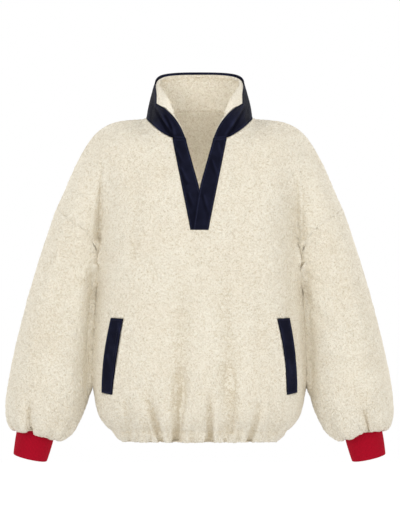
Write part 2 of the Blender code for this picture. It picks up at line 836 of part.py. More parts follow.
def collar_point(foot, top, column, share):
    """A point of the collar between the neck seam and its upper edge."""
    foot, top = Vector(foot), Vector(top)
    point = foot.lerp(top, share)
    bow = 4 * share * (1 - share)
    opening = max(0.0, 1 - column / 3.5)
    along = top - foot
    across = Vector((-along.z, 0.0, along.x)).normalized()
    point += across * COLLAR_ROLL * bow * opening
    point.y -= 5.0 * bow * opening
    outwards = Vector((foot.x / 100, foot.y / 70, 0.0))
    point += outwards.normalized() * COLLAR_ROUND * bow * (1 - opening)
    return point


def add_collar(skin):
    """The collar's skin from the left front edge round the back to the right one."""
    previous = None
    for r in range(COLLAR_ROWS + 1):
        share = r / COLLAR_ROWS
        half = [collar_point(f, t, c, share) for c, (f, t) in enumerate(zip(COLLAR_FOOT, COLLAR_TOP))]
        right = [skin.add(mirrored(p, -1)) for p in half]
        left = [skin.add(p) for p in reversed(half)]
        row = right + left[1:]
        if previous is not None:
            skin.strip("collar", row, previous)
        previous = row


def strip_rows(side, free_foot_x):
    """Rows of a placket strip, from its foot to the neck seam: the sewn edge to the free edge."""
    rows = []
    foot = UNDERARM_Z + (NECK_FRONT_Z - UNDERARM_Z) * SLIT_ROW / UPPER_ROWS
    for j in range(SLIT_ROW, UPPER_ROWS + 1):
        t = j / UPPER_ROWS
        z = UNDERARM_Z + (NECK_FRONT_Z - UNDERARM_Z) * t
        sewn = slit_x(z)
        if z < STRIPS_CROSS_Z:
            free = -free_foot_x * (STRIPS_CROSS_Z - z) / (STRIPS_CROSS_Z - foot)
        else:
            free = SLIT_INNER_TOP_X * (z - STRIPS_CROSS_Z) / (NECK_FRONT_Z - STRIPS_CROSS_Z)
        row = []
        for k in range(STRIP_COLUMNS + 1):
            share = k / STRIP_COLUMNS
            x = sewn + (free - sewn) * share
            height = z - share * max(0.0, (t - 0.9) / 0.1)
            y = -body_depth(abs(x), height, "front")
            lift = Vector(NECK[0]).y + body_depth(SLIT_TOP_X, NECK_FRONT_Z, "front")
            y += lift * near_neck(t) ** 2
            y += (COLLAR_FOOT[0][1] - NECK[0][1] + STRIP_EASE) * share * max(0.0, (t - 0.7) / 0.3)
            row.append(Vector((side * x, y, height)))
        if j == UPPER_ROWS:
            row[0] = mirrored(Vector(NECK[0]), side)
            row[-1] = mirrored(Vector(COLLAR_FOOT[0]), side)
            for k in range(1, STRIP_COLUMNS):
                row[k] = row[0].lerp(row[-1], k / STRIP_COLUMNS)
        rows.append(row)
    return rows


def add_placket_strip(skin, piece, side, free_foot_x):
    """A placket strip's skin, turned so that it faces out on either side."""
    previous = None
    for row in strip_rows(side, free_foot_x):
        numbers = [skin.add(p) for p in row]
        if side > 0:
            numbers = numbers[::-1]
        if previous is not None:
            skin.strip(piece, previous, numbers)
        previous = numbers


def fold_pull(folds, x, z):
    """How deep the troughs pull the skin in at a point of a body panel, in front view."""
    total = 0.0
    for fold in folds:
        t = (z - fold.low_z) / (fold.high_z - fold.low_z)
        if fold.low_z > HEM_Z:
            strength = math.sin(math.pi * t) if 0 < t < 1 else 0.0
        else:
            strength = min(1.0, max(0.0, 1 - t)) ** 1.2
        line = fold.low_x + (fold.high_x - fold.low_x) * min(max(t, 0.0), 1.0)
        spread = fold.width * (1 + FOLD_SPREAD * max(0.0, t))
        total += fold.depth * strength * math.exp(-1.6 * ((x - line) / spread) ** 2)
    return total


def body_fold(face, point):
    """The outward move of a body panel's skin: gathers, folds and the casing's stitched line."""
    folds = FRONT_FOLDS if face == "front" else BACK_FOLDS
    pull = fold_pull(folds, point.x, point.z)
    rise = (point.z - HEM_Z) / (GATHER_Z - HEM_Z)
    puff = HEM_PUFF * max(0.0, 1 - rise) if rise < 1 else 0.0
    from_side = min(1.0, abs(point.y) / SIDE_CALM)
    stitched = STITCH_DEPTH * math.exp(-(((point.z - CASING_Z) / STITCH_SPREAD) ** 2))
    return (puff - pull) * from_side - stitched


def turned(angle, middle):
    """How far an angle in degrees lies from the middle of a fold, the short way round."""
    return (angle - middle + 180) % 360 - 180


def sleeve_fold(note, point, folds, gathers):
    """The outward move of a sleeve's skin: its long soft folds and the gathers at the wrist."""
    ring, angle = note
    move = 0.0
    if ring == 0:
        return move
    for fold in folds:
        t = (point.z - fold.low_z) / (fold.high_z - fold.low_z)
        if 0 < t < 1:
            across = turned(angle, fold.angle) / fold.width
            move -= fold.depth * math.sin(math.pi * t) * math.exp(-(across**2))
    if ring >= FIRST_END_RING:
        share = SLEEVE_END[ring - FIRST_END_RING].gathering
        move += WRIST_PUFF * share
        for gather in gathers:
            across = turned(angle, gather.angle) / gather.width
            move -= share * gather.depth * math.exp(-1.3 * across**2)
    return move


def inner_side(outward, thick):
    """Where a fleece wall's inner side lies: it follows the folds of the outer side only partly."""
    return FOLLOW * outward - thick + (1 - FOLLOW) * min(0.0, outward + 3)


def boundary_of(faces):
    """The free edges of a piece, in the order in which its faces use them."""
    edges = {}
    for face in faces:
        for a, b in zip(face, face[1:] + face[:1]):
            edges[(a, b)] = edges.get((a, b), 0) + 1
    return [(a, b) for a, b in edges if (b, a) not in edges]


def pulled_in(points, faces, rim):
    """The move that draws each edge point into its own piece, the same distance off both edges."""
    owner = {}
    for face in faces:
        for a, b in zip(face, face[1:] + face[:1]):
            owner[(a, b)] = face
    inwards = {}
    for a, b in rim:
        corners = [points[i] for i in owner[(a, b)]]
        out = (corners[1] - corners[0]).cross(corners[-1] - corners[0])
        inward = out.cross(points[b] - points[a]).normalized()
        inwards.setdefault(a, []).append(inward)
        inwards.setdefault(b, []).append(inward)
    moves = {}
    for i, ways in inwards.items():
        both = ways[0] + ways[-1]
        moves[i] = both * SEAM_HALF_GAP / max(0.5, 1 + ways[0].dot(ways[-1]))
    return moves


def wall(name, skin, faces, normals, top_of, depth_of, colour, roughness):
    """A closed wall on some of the skin's faces. top_of and depth_of give, for a point's number,
    how far its outer and inner sides lie from the skin, outwards positive."""
    used = sorted({i for face in faces for i in face})
    where = {i: k for k, i in enumerate(used)}
    rim = boundary_of(faces)
    moves = pulled_in(skin.points, faces, rim)
    outer = []
    inner = []
    for i in used:
        base = skin.points[i] + moves.get(i, Vector((0, 0, 0)))
        outer.append(base + normals[i] * top_of(i))
        inner.append(base + normals[i] * depth_of(i))
    count = len(used)
    shape = [tuple(where[i] for i in face) for face in faces]
    shape += [tuple(where[i] + count for i in reversed(face)) for face in faces]
    for a, b in rim:
        quad = (where[b], where[a], where[a] + count, where[b] + count)
        first = 0 if b < a else 1
        quad = quad[first:] + quad[:first]
        shape += [quad[:3], (quad[0], quad[2], quad[3])]
    return mesh_object(name, outer + inner, shape, colour, roughness)


def mesh_object(name, points, faces, colour, roughness):
    """A named object with its own material, from points in millimetres."""
    mesh = bpy.data.meshes.new(name)
    mesh.from_pydata([tuple(v * METRE_PER_MM for v in p) for p in points], [], faces)
    mesh.validate()
    mesh.shade_smooth()
    mesh.set_sharp_from_angle(angle=math.radians(50))
    made = bpy.data.objects.new(name, mesh)
    bpy.context.scene.collection.objects.link(made)
    material = bpy.data.materials.new(name)
    material.use_nodes = True
    shader = material.node_tree.nodes["Principled BSDF"]
    shader.inputs["Base Color"].default_value = (*colour, 1.0)
    shader.inputs["Roughness"].default_value = roughness
    mesh.materials.append(material)
    return made


def build_body(skin, normals):
    """The front and the back."""
    made = {}
    for face in ("front", "back"):
        def top(i, face=face):
            return body_fold(face, skin.points[i])

        def depth(i, face=face):
            point = skin.points[i]
            turned_up = min(1.0, max(0.0, (CASING_Z + 6 - point.z) / 6))
            thick = FLEECE + (CASING - FLEECE) * turned_up
            return inner_side(body_fold(face, point), thick)

        made[face] = wall(face, skin, skin.faces[face], normals, top, depth, CREAM, 0.95)
    return made


def build_sleeves(skin, normals):
    """Both sleeves."""
    plans = (
        ("sleeve_right", RIGHT_SLEEVE_FOLDS, RIGHT_GATHERS),
        ("sleeve_left", LEFT_SLEEVE_FOLDS, LEFT_GATHERS),
    )
    for piece, folds, gathers in plans:
        def top(i, folds=folds, gathers=gathers):
            return sleeve_fold(skin.notes[i], skin.points[i], folds, gathers)

        def depth(i, top=top):
            end_ring = skin.notes[i][0] - FIRST_END_RING
            thick = FLEECE * (SLEEVE_END[end_ring].wall if end_ring >= 0 else 1.0)
            return inner_side(top(i), thick)

        wall(piece, skin, skin.faces[piece], normals, top, depth, CREAM, 0.95)


def build_collar(skin, normals):
    """The collar's woven outside and its fleece facing."""
    faces = skin.faces["collar"]
    wall("collar", skin, faces, normals, lambda i: 0.0, lambda i: -COLLAR_CLOTH, NAVY, 0.6)
    wall("collar_facing", skin, faces, normals, lambda i: -FACING_TOP, lambda i: -FLEECE, CREAM, 0.95)


def build_placket(skin, normals):
    """The two placket strips. The wearer's left one lies on top."""
    plans = (
        ("placket_left", OVER_STRIP_DEPTH),
        ("placket_right", UNDER_STRIP_DEPTH),
    )
    for piece, deep in plans:
        wall(
            piece,
            skin,
            skin.faces[piece],
            normals,
            lambda i, deep=deep: -deep,
            lambda i, deep=deep: -deep - STRIP_CLOTH,
            NAVY,
            0.6,
        )


def welt_centre(share):
    """The welt's centre line in front view, through its three named places."""
    top, middle, foot = (Vector(p) for p in (WELT_TOP, WELT_MIDDLE, WELT_FOOT))
    handle = middle * 2 - (top + foot) / 2
    return top * (1 - share) ** 2 + handle * 2 * share * (1 - share) + foot * share**2


def build_welt(name, side, panel):
    """A pocket welt laid on the front: its points are the front's own, moved out."""
    mesh = panel.data
    tree = BVHTree.FromPolygons(
        [v.co / METRE_PER_MM for v in mesh.vertices], [p.vertices[:] for p in mesh.polygons]
    )
    skin = Skin()
    outwards = {}
    rows = []
    for r in range(WELT_ROWS + 1):
        centre = welt_centre(r / WELT_ROWS)
        row = []
        for k in range(WELT_COLUMNS + 1):
            reach = WELT_WIDTH * (k / WELT_COLUMNS - 0.5)
            turn = body_slope(centre.x, centre.y)
            x = centre.x + reach * turn
            hit, normal, _, _ = tree.ray_cast(Vector((side * x, -400.0, centre.y)), Vector((0, 1, 0)))
            i = skin.add(hit)
            outwards[i] = normal
            row.append(i)
        rows.append(row if side > 0 else row[::-1])
    for low, high in zip(rows[1:], rows):
        skin.strip(name, low, high)
    skin.split()
    smooth = skin.normals()
    wall(
        name,
        skin,
        skin.faces[name],
        smooth,
        lambda i: WELT_LIFT + WELT_CLOTH,
        lambda i: WELT_LIFT,
        NAVY,
        0.6,
    )


def body_slope(x, z):
    """How much a width round the cloth is foreshortened in front view at this place."""
    step = 4.0
    fall = body_depth(x - step, z, "front") - body_depth(x + step, z, "front")
    return 1 / math.hypot(1.0, fall / (2 * step))


def build_cuff(name, side):
    """A ribbed cuff: the ribs stand up on the outside of a plain tube."""
    columns = 2 * RIBS
    lean = math.radians(CUFF_TILT)
    top, end = Vector(CUFF_TOP), Vector(CUFF_END)
    rings = []
    for station in CUFF_STATIONS:
        radius = CUFF_TOP_RADIUS + (CUFF_END_RADIUS - CUFF_TOP_RADIUS) * station
        rounding = 0.9 if station in (0.0, 1.0) else 0.0
        rings.append((top.lerp(end, station), radius - rounding, RIB_HEIGHT))
    for station in (1.0, 0.0):
        radius = CUFF_TOP_RADIUS + (CUFF_END_RADIUS - CUFF_TOP_RADIUS) * station
        rings.append((top.lerp(end, station), radius - CUFF_WALL, 0.0))
    points = []
    for centre, radius, rib in rings:
        for k in range(columns):
            turn = 2 * math.pi * k / columns
            reach = radius - (rib if k % 2 else 0.0)
            along, depth = reach * math.cos(turn), reach * math.sin(turn)
            x = centre.x + along * math.cos(lean)
            points.append(Vector((side * x, -depth, centre.y + along * math.sin(lean))))
    faces = []
    for r in range(len(rings)):
        after = (r + 1) % len(rings)
        for k in range(columns):
            beside = (k + 1) % columns
            quad = (
                r * columns + k,
                r * columns + beside,
                after * columns + beside,
                after * columns + k,
            )
            faces.append(quad if side > 0 else quad[::-1])
    mesh_object(name, points, faces, RED, 0.85)


def clear_scene():
    for old in list(bpy.data.objects):
        bpy.data.objects.remove(old, do_unlink=True)


def main():
    clear_scene()
    skin = Skin()
    add_body_panel(skin, "front")
    add_body_panel(skin, "back")
    add_sleeve(skin, "sleeve_right", -1)
    add_sleeve(skin, "sleeve_left", 1)
    add_collar(skin)
    add_placket_strip(skin, "placket_left", 1, LEFT_STRIP_FOOT_X)
    add_placket_strip(skin, "placket_right", -1, RIGHT_STRIP_FOOT_X)
    skin.relax(("front", "back"), RELAX_ROUNDS)
    skin.split()
    normals = skin.normals()
    level_hem(skin, normals)
    even_neck_seam(skin, normals)
    open_creases(skin, normals)
    for side in (-1, 1):
        underarm = skin.add(mirrored(armhole_points("front")[0], side))
        normals[underarm] = Vector((0, 0, -1))
    body = build_body(skin, normals)
    build_sleeves(skin, normals)
    build_collar(skin, normals)
    build_placket(skin, normals)
    build_welt("pocket_welt_right", -1, body["front"])
    build_welt("pocket_welt_left", 1, body["front"])
    build_cuff("cuff_right", -1)
    build_cuff("cuff_left", 1)


main()
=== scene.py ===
# %% [markdown]
# # A sherpa fleece pullover
# The construction comes ready made, one closed solid for each piece that is cut and sewn, and it
# stays where it is. This lesson dresses it: the fleece gets its pile of small curls, its seams and
# its creases, the woven trim its weave, folds and stitching, and the cuffs their ribs.
# Lengths are in metres, +Z is up, and the wearer's front looks along -Y.

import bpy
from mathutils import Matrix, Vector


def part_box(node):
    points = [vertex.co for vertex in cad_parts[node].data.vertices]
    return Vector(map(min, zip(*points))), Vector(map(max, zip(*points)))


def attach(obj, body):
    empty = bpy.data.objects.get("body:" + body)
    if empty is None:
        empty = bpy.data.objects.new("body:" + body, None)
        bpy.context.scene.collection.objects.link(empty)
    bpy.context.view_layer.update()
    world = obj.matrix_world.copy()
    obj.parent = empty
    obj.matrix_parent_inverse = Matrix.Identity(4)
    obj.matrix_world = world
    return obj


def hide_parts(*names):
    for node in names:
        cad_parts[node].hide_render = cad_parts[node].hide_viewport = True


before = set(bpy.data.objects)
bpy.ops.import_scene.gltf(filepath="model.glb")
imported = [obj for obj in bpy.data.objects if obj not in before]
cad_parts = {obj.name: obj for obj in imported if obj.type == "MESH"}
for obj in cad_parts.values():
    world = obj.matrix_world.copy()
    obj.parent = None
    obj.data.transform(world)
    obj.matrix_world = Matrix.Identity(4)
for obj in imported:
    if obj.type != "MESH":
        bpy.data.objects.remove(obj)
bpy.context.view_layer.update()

# %% Modules and units
import math
from collections import namedtuple

import bmesh
import bpy
import numpy as np
from mathutils import Vector
from mathutils.bvhtree import BVHTree
from mathutils.kdtree import KDTree

MM = 0.001

# %% [markdown]
# ## Camera
# A garment is shot from straight in front with a long lens, so that its near side isn't enlarged.
# The distance and the height that the picture takes in give the focal length.

# %% Place the camera
CAMERA_DISTANCE = 14.0
PICTURE_HEIGHT = 1.0108  # of the plane through the shoulders and the side seams
PICTURE_MIDDLE = Vector((0.001, 0.0, -0.281))
SENSOR = 36 * MM

camera_data = bpy.data.cameras.new("camera")
camera_data.lens = SENSOR / MM * CAMERA_DISTANCE / PICTURE_HEIGHT
camera_data.clip_end = 100.0
camera = bpy.data.objects.new("camera", camera_data)
camera.location = PICTURE_MIDDLE - Vector((0.0, CAMERA_DISTANCE, 0.0))
camera.rotation_euler = (math.radians(90), 0.0, 0.0)
bpy.context.scene.collection.objects.link(camera)
bpy.context.scene.camera = camera
print("lens", round(camera_data.lens, 1), "mm")

# %% [markdown]
# ## Shader expressions
# A material is easier to read as a formula than as a list of nodes. One small class holds an
# output socket and turns +, - and * into Math nodes, and one method makes any other node.

# %% Sockets as values
class Wire:
    """An output socket of a material's node, with + - * that add Math nodes."""

    def __init__(self, socket):
        self.socket = socket

    def _math(self, operation, first, second):
        node = self.socket.id_data.nodes.new("ShaderNodeMath")
        node.operation = operation
        for place, value in zip(node.inputs, (first, second)):
            feed(place, value)
        return Wire(node.outputs[0])

    def __add__(self, other):
        return self._math("ADD", self, other)

    def __sub__(self, other):
        return self._math("SUBTRACT", self, other)

    def __rsub__(self, other):
        return self._math("SUBTRACT", other, self)

    def __mul__(self, other):
        return self._math("MULTIPLY", self, other)

    __radd__ = __add__
    __rmul__ = __mul__


def feed(place, value):
    """Links a wire to an input socket, or sets the socket's own value."""
    if isinstance(value, Wire):
        value.socket.id_data.links.new(value.socket, place)
    elif isinstance(value, tuple) and len(value) == 3 and place.type == "RGBA":
        place.default_value = (*value, 1.0)
    else:
        place.default_value = value


class Finish:
    """A material of one Principled shader, whose inputs are values or wires."""

    def __init__(self, name, **inputs):
        self.material = bpy.data.materials.new(name)
        self.material.use_nodes = True
        self.shader = self.material.node_tree.nodes["Principled BSDF"]
        self.set(inputs)

    def set(self, inputs):
        """Sets or links the shader's inputs, named with _ for a space."""
        for name, value in inputs.items():
            feed(self.shader.inputs[name.replace("_", " ")], value)

    def node(self, kind, settings=None, inputs=None, output=0):
        """Makes a node of this kind, and gives its output as a wire."""
        node = self.material.node_tree.nodes.new(kind)
        for name, value in (settings or {}).items():
            setattr(node, name, value)
        for name, value in (inputs or {}).items():
            feed(node.inputs[name], value)
        return Wire(node.outputs[output])

    def stored(self, name):
        """A number that the mesh stores at its points."""
        return self.node("ShaderNodeAttribute", {"attribute_name": name}, output="Fac")

    def place(self):
        return self.node("ShaderNodeTexCoord", output="Object")

    def speckle(self, size, detail):
        """Even noise whose lumps are about this size."""
        inputs = {"Vector": self.place(), "Scale": 1 / size, "Detail": detail}
        return self.node("ShaderNodeTexNoise", None, inputs, "Fac")

    def shades(self, share, low, high):
        """A colour between two, by a wire's value."""
        settings = {"data_type": "RGBA", "clamp_factor": True}
        inputs = {0: share, 6: low, 7: high}
        return self.node("ShaderNodeMix", settings, inputs, 2)

    def ramp(self, value, low, high):
        """0 below low and 1 above high, with a smooth step between."""
        settings = {"interpolation_type": "SMOOTHSTEP"}
        return self.node("ShaderNodeMapRange", settings, {"Value": value, 1: low, 2: high}, 0)

    def relief(self, height, depth, strength=1.0):
        """Feeds a height, in shares of depth in metres, to the shader's normal."""
        inputs = {"Height": height, "Distance": depth, "Strength": strength}
        self.set({"Normal": self.node("ShaderNodeBump", None, inputs)})

# %% [markdown]
# ## Studio
# A product is shot on white: a pale floor that runs into a white backdrop without a corner. If all
# that white also lit the cloth evenly, its folds would hardly show, so the backdrop and the floor
# are seen but give no light. The sky is three quarters as bright, and large soft lights do the
# rest: one to the left and a weaker one to the right, so that each fold has a lit side and a
# shaded one, one above for the shoulders, and a low one for the gathers that turn down to the hem.
# Two more light the back. Pale fleece also lets light through: two small lamps, in the body and in
# the neck, stand for that.

# %% Sky, backdrop and floor
SKY_STRENGTH = 0.77
FLOOR_DEPTH = 1.45
FLOOR_GREY = 0.3
FLOOR_GLOW = 0.86
BACKDROP_REACH = 30.0

bpy.context.scene.view_settings.view_transform = "Standard"
sky = bpy.data.worlds.new("studio")
sky.use_nodes = True
sky.node_tree.nodes["Background"].inputs["Color"].default_value = (1.0, 1.0, 1.0, 1.0)
sky.node_tree.nodes["Background"].inputs["Strength"].default_value = SKY_STRENGTH
bpy.context.scene.world = sky


def stage_piece(name, grey, glow):
    """A pale piece of the studio, which is seen but lights nothing."""
    paint = Finish(name, Base_Color=(grey, grey, grey), Roughness=1.0, Specular_IOR_Level=0.0)
    paint.set({"Emission_Color": (1.0, 1.0, 1.0), "Emission_Strength": glow})
    bm = bmesh.new()
    if name == "backdrop":
        bmesh.ops.create_icosphere(bm, subdivisions=3, radius=BACKDROP_REACH)
    else:
        bmesh.ops.create_circle(bm, cap_ends=True, segments=48, radius=BACKDROP_REACH)
        bmesh.ops.translate(bm, verts=bm.verts, vec=(0.0, 0.0, -FLOOR_DEPTH))
    mesh = bpy.data.meshes.new(name)
    bm.to_mesh(mesh)
    bm.free()
    mesh.materials.append(paint.material)
    piece = bpy.data.objects.new(name, mesh)
    piece.visible_diffuse = piece.visible_glossy = piece.visible_shadow = False
    bpy.context.scene.collection.objects.link(piece)


stage_piece("backdrop", 0.0, 1.0)
stage_piece("floor", FLOOR_GREY, FLOOR_GLOW)

# %% Soft lights
SoftLight = namedtuple("SoftLight", "name place size watts")
SOFT_LIGHTS = (
    SoftLight("key", (-3.2, -3.0, 1.0), 1.2, 29.0),
    SoftLight("right", (3.4, -2.6, 0.0), 1.8, 25.5),
    SoftLight("low", (0.0, -3.2, -1.6), 1.4, 18.0),
    SoftLight("top", (0.0, -1.2, 3.0), 1.8, 18.0),
    SoftLight("back_left", (-3.4, 3.6, 0.6), 2.2, 68.0),
    SoftLight("back_right", (3.4, 3.6, 0.6), 2.2, 68.0),
)
INNER_LAMPS = (((0.0, -0.02, -0.17), 0.24), ((0.0, -0.06, 0.035), 0.06))  # place, watts
INNER_LAMP_SIZE = 0.04


def add_lamp(name, kind, place, watts):
    """A lamp that lights but isn't seen."""
    lamp = bpy.data.lights.new(name, kind)
    lamp.energy = watts
    holder = bpy.data.objects.new(name, lamp)
    holder.location = place
    holder.visible_camera = False
    bpy.context.scene.collection.objects.link(holder)
    return holder


for light in SOFT_LIGHTS:
    holder = add_lamp(light.name, "AREA", light.place, light.watts)
    holder.data.size = light.size
    aim = PICTURE_MIDDLE - Vector(light.place)
    holder.rotation_euler = aim.to_track_quat("-Z", "Y").to_euler()
for place, watts in INNER_LAMPS:
    add_lamp("inside", "POINT", place, watts).data.shadow_soft_size = INNER_LAMP_SIZE
print("lights", [light.name for light in SOFT_LIGHTS])

# %% [markdown]
# ## A smooth copy of each solid
# The solids have large flat faces, which is enough to hold their shape. Blender's Subdivision
# Surface makes a smooth copy. Each wall has an outer side, an inner side and a narrow rim, and the
# edges between them are creased so that the rims stay where the seams are.

# %% Copy a solid as quads
WELD = 0.001 * MM
JOIN_ANGLE = 0.7  # between two triangles that make a quad
JOIN_SKEW = 1.2  # and how far its corners may be from square
RIM_ANGLE = math.radians(48)
CORNER_ANGLE = math.radians(32)
LEVEL = 0.5  # an edge that rises by less than this share of its length is level
ROUND_BELOW = -0.57  # the turned hem and the sleeve ends are rolls, not cut edges
OUTER, INNER, RIM = 0, 1, 2


def smooth_groups(bm):
    """The groups of faces that no edge sharper than the rim's parts."""
    left = set(bm.faces)
    groups = []
    while left:
        group, waiting = [], [left.pop()]
        while waiting:
            face = waiting.pop()
            group.append(face)
            for edge in face.edges:
                if edge.calc_face_angle(0.0) < RIM_ANGLE:
                    for other in edge.link_faces:
                        if other in left:
                            left.remove(other)
                            waiting.append(other)
        groups.append(group)
    return sorted(groups, key=lambda g: -sum(f.calc_area() for f in g))


def outwardness(group, axis):
    """How much a group of faces looks away from an upright axis."""
    total = 0.0
    for face in group:
        away = face.calc_center_median() - axis
        away.z = 0.0
        total += face.normal.dot(away) * face.calc_area()
    return total


def quad_copy(name, axis):
    """A node's surface in quads. Each face's material number says which side of the wall it is."""
    bm = bmesh.new()
    bm.from_mesh(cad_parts[name].data)
    bmesh.ops.remove_doubles(bm, verts=bm.verts, dist=WELD)
    bmesh.ops.join_triangles(bm, faces=bm.faces, angle_face_threshold=JOIN_ANGLE,
                             angle_shape_threshold=JOIN_SKEW)
    for face in bm.faces:
        face.material_index = RIM
    sides = sorted(smooth_groups(bm)[:2], key=lambda g: outwardness(g, axis))
    for number, group in ((INNER, sides[0]), (OUTER, sides[1])):
        for face in group:
            face.material_index = number
    edge_crease = bm.edges.layers.float.new("crease_edge")
    point_crease = bm.verts.layers.float.new("crease_vert")
    borders = {}
    for edge in bm.edges:
        start, end = (point.co for point in edge.verts)
        if max(start.z, end.z) < ROUND_BELOW and abs(end.z - start.z) < LEVEL * (end - start).length:
            continue
        if len({face.material_index for face in edge.link_faces}) > 1:
            edge[edge_crease] = 1.0
            for point in edge.verts:
                borders.setdefault(point, []).append(edge.other_vert(point).co - point.co)
        elif edge.calc_face_angle(0.0) > RIM_ANGLE:
            edge[edge_crease] = 1.0
    for point, ways in borders.items():
        if len(ways) != 2 or math.pi - ways[0].angle(ways[1]) > CORNER_ANGLE:
            point[point_crease] = 1.0
    return bm

# %% Subdivide the copy
Wall = namedtuple("Wall", "points corners sides")  # sides holds each triangle's side of the wall


def smooth_wall(name, levels, axis=Vector((0.0, 0.0, 0.0))):
    """A solid's subdivided surface as mesh arrays. The copy itself isn't kept."""
    bm = quad_copy(name, axis)
    mesh = bpy.data.meshes.new(name + "_copy")
    for _ in (OUTER, INNER, RIM):
        mesh.materials.append(None)
    bm.to_mesh(mesh)
    bm.free()
    holder = bpy.data.objects.new(name + "_copy", mesh)
    bpy.context.scene.collection.objects.link(holder)
    surface = holder.modifiers.new("smooth", "SUBSURF")
    surface.levels = surface.render_levels = levels
    surface.boundary_smooth = "PRESERVE_CORNERS"
    bpy.context.view_layer.update()
    smooth = holder.evaluated_get(bpy.context.evaluated_depsgraph_get()).to_mesh()
    wall = read_wall(smooth)
    holder.to_mesh_clear()
    bpy.data.objects.remove(holder)
    bpy.data.meshes.remove(mesh)
    return wall


def read_wall(mesh):
    """A mesh's points and triangles as arrays."""
    points = np.empty(len(mesh.vertices) * 3)
    mesh.vertices.foreach_get("co", points)
    mesh.calc_loop_triangles()
    corners = np.empty(len(mesh.loop_triangles) * 3, np.int64)
    mesh.loop_triangles.foreach_get("vertices", corners)
    sides = np.empty(len(mesh.loop_triangles), np.int64)
    mesh.loop_triangles.foreach_get("material_index", sides)
    return Wall(points.reshape(-1, 3), corners.reshape(-1, 3), sides)

# %% [markdown]
# ## Points where the detail is
# A curl of the pile is about 5 mm wide, so its mesh needs an edge every 2 or 3 mm, but only where
# it shows. Instead of one more level all over, each triangle that is too long for its side of the
# cloth is cut in two across its longest edge, again and again, and its neighbours are cut to fit.

# %% Halve the longest edges
def refined(wall, longest):
    """Cuts the triangles until no edge is longer than longest(middles, sides) allows. Columns after
    the first three are numbers that the points carry along."""
    points, corners, sides = wall
    while True:
        ends = np.sort(np.stack([corners, np.roll(corners, -1, axis=1)], axis=2), axis=2)
        key = ends[..., 0] * len(points) + ends[..., 1]
        edges, index = np.unique(key, return_inverse=True)
        index = index.reshape(corners.shape)
        a, b = points[edges // len(points)], points[edges % len(points)]
        length = np.linalg.norm((a - b)[:, :3], axis=1)
        turn = length[index].argmax(axis=1)
        own = index[np.arange(len(corners)), turn]
        cut = np.zeros(len(edges), bool)
        cut[own[length[own] > longest(points[corners].mean(axis=1), sides)]] = True
        if not cut.any():
            return Wall(points, corners, sides)
        spread = 0
        while spread < cut.sum():
            spread = cut.sum()
            cut[own[cut[index].any(axis=1)]] = True
        middle = np.full(len(edges), -1)
        middle[cut] = len(points) + np.arange(spread)
        points = np.vstack([points, (a + b)[cut] / 2])
        corners, sides = cut_triangles(corners, sides, turn, middle[index])


def cut_triangles(corners, sides, turn, middle):
    """Each triangle cut from the middle of its longest edge, whose number is turn; -1 is no cut."""
    order = (np.arange(3) + turn[:, None]) % 3
    p, q, r = np.take_along_axis(corners, order, axis=1).T
    pq, qr, rp = np.take_along_axis(middle, order, axis=1).T
    halved, near_q, near_p = pq >= 0, qr >= 0, rp >= 0
    pieces = (
        (~halved, (p, q, r)),
        (halved & ~near_p, (p, pq, r)),
        (near_p, (p, pq, rp)),
        (near_p, (rp, pq, r)),
        (halved & ~near_q, (pq, q, r)),
        (near_q, (pq, q, qr)),
        (near_q, (pq, qr, r)),
    )
    made = [np.stack(triangle, axis=1)[chosen] for chosen, triangle in pieces]
    return np.vstack(made), np.concatenate([sides[chosen] for chosen, _ in pieces])

# %% Normals of one side
RIM_ROUNDS = 12  # how often the rim's points take the mean of their neighbours' moves


def summed(index, values, count):
    """Adds up the rows of values that share an index."""
    return np.stack([np.bincount(index, column, count) for column in values.T], axis=1)


def side_normals(wall, side):
    """The normal at each point from that side's triangles alone, and which points the side has."""
    corners = wall.corners[wall.sides == side]
    a, b, c = (wall.points[corners[:, k]] for k in range(3))
    areas = np.cross(b - a, c - a)
    total = summed(corners.ravel(), np.repeat(areas, 3, axis=0), len(wall.points))
    length = np.linalg.norm(total, axis=1)
    return total / np.maximum(length, 1e-12)[:, None], length > 0


def spread_over_rim(wall, moves, moved):
    """Gives the points that only the rim has the mean move of the points round them."""
    ends = wall.corners[wall.sides == RIM]
    pairs = np.concatenate([ends[:, [0, 1]], ends[:, [1, 2]], ends[:, [2, 0]]])
    pairs = np.concatenate([pairs, pairs[:, ::-1]])
    count = np.bincount(pairs[:, 0], minlength=len(moves))
    free = ~moved & (count > 0)
    for _ in range(RIM_ROUNDS):
        total = summed(pairs[:, 0], moves[pairs[:, 1]], len(moves))
        moves[free] = total[free] / count[free, None]
    return moves

# %% [markdown]
# ## Noise without a texture
# The curls have to be in the mesh, so their noise is worked out for every point. Both kinds come
# from whole-number cells whose random numbers depend on the cell alone: smooth noise blends the
# numbers at a cell's corners, and clumps measure how far a point is from the nearest two seeds.

# %% Cell noise
CLUMP_SLOPE = 0.55  # how much further the second nearest seed is, in cells, at a clump's flat top


def cell_random(cells, seed):
    """Three even random numbers for each whole-number cell, the same in every run."""
    mixed = cells.astype(np.uint32) * np.array([73856093, 19349663, 83492791], np.uint32)
    mixed = (mixed[..., 0] ^ mixed[..., 1] ^ mixed[..., 2]) + np.uint32(seed * 7919)
    numbers = []
    for _ in range(3):
        mixed = (mixed ^ (mixed >> np.uint32(15))) * np.uint32(2246822519)
        mixed = (mixed ^ (mixed >> np.uint32(13))) * np.uint32(3266489917)
        numbers.append((mixed >> np.uint32(8)) / 2.0**24)
    return np.stack(numbers, axis=-1)


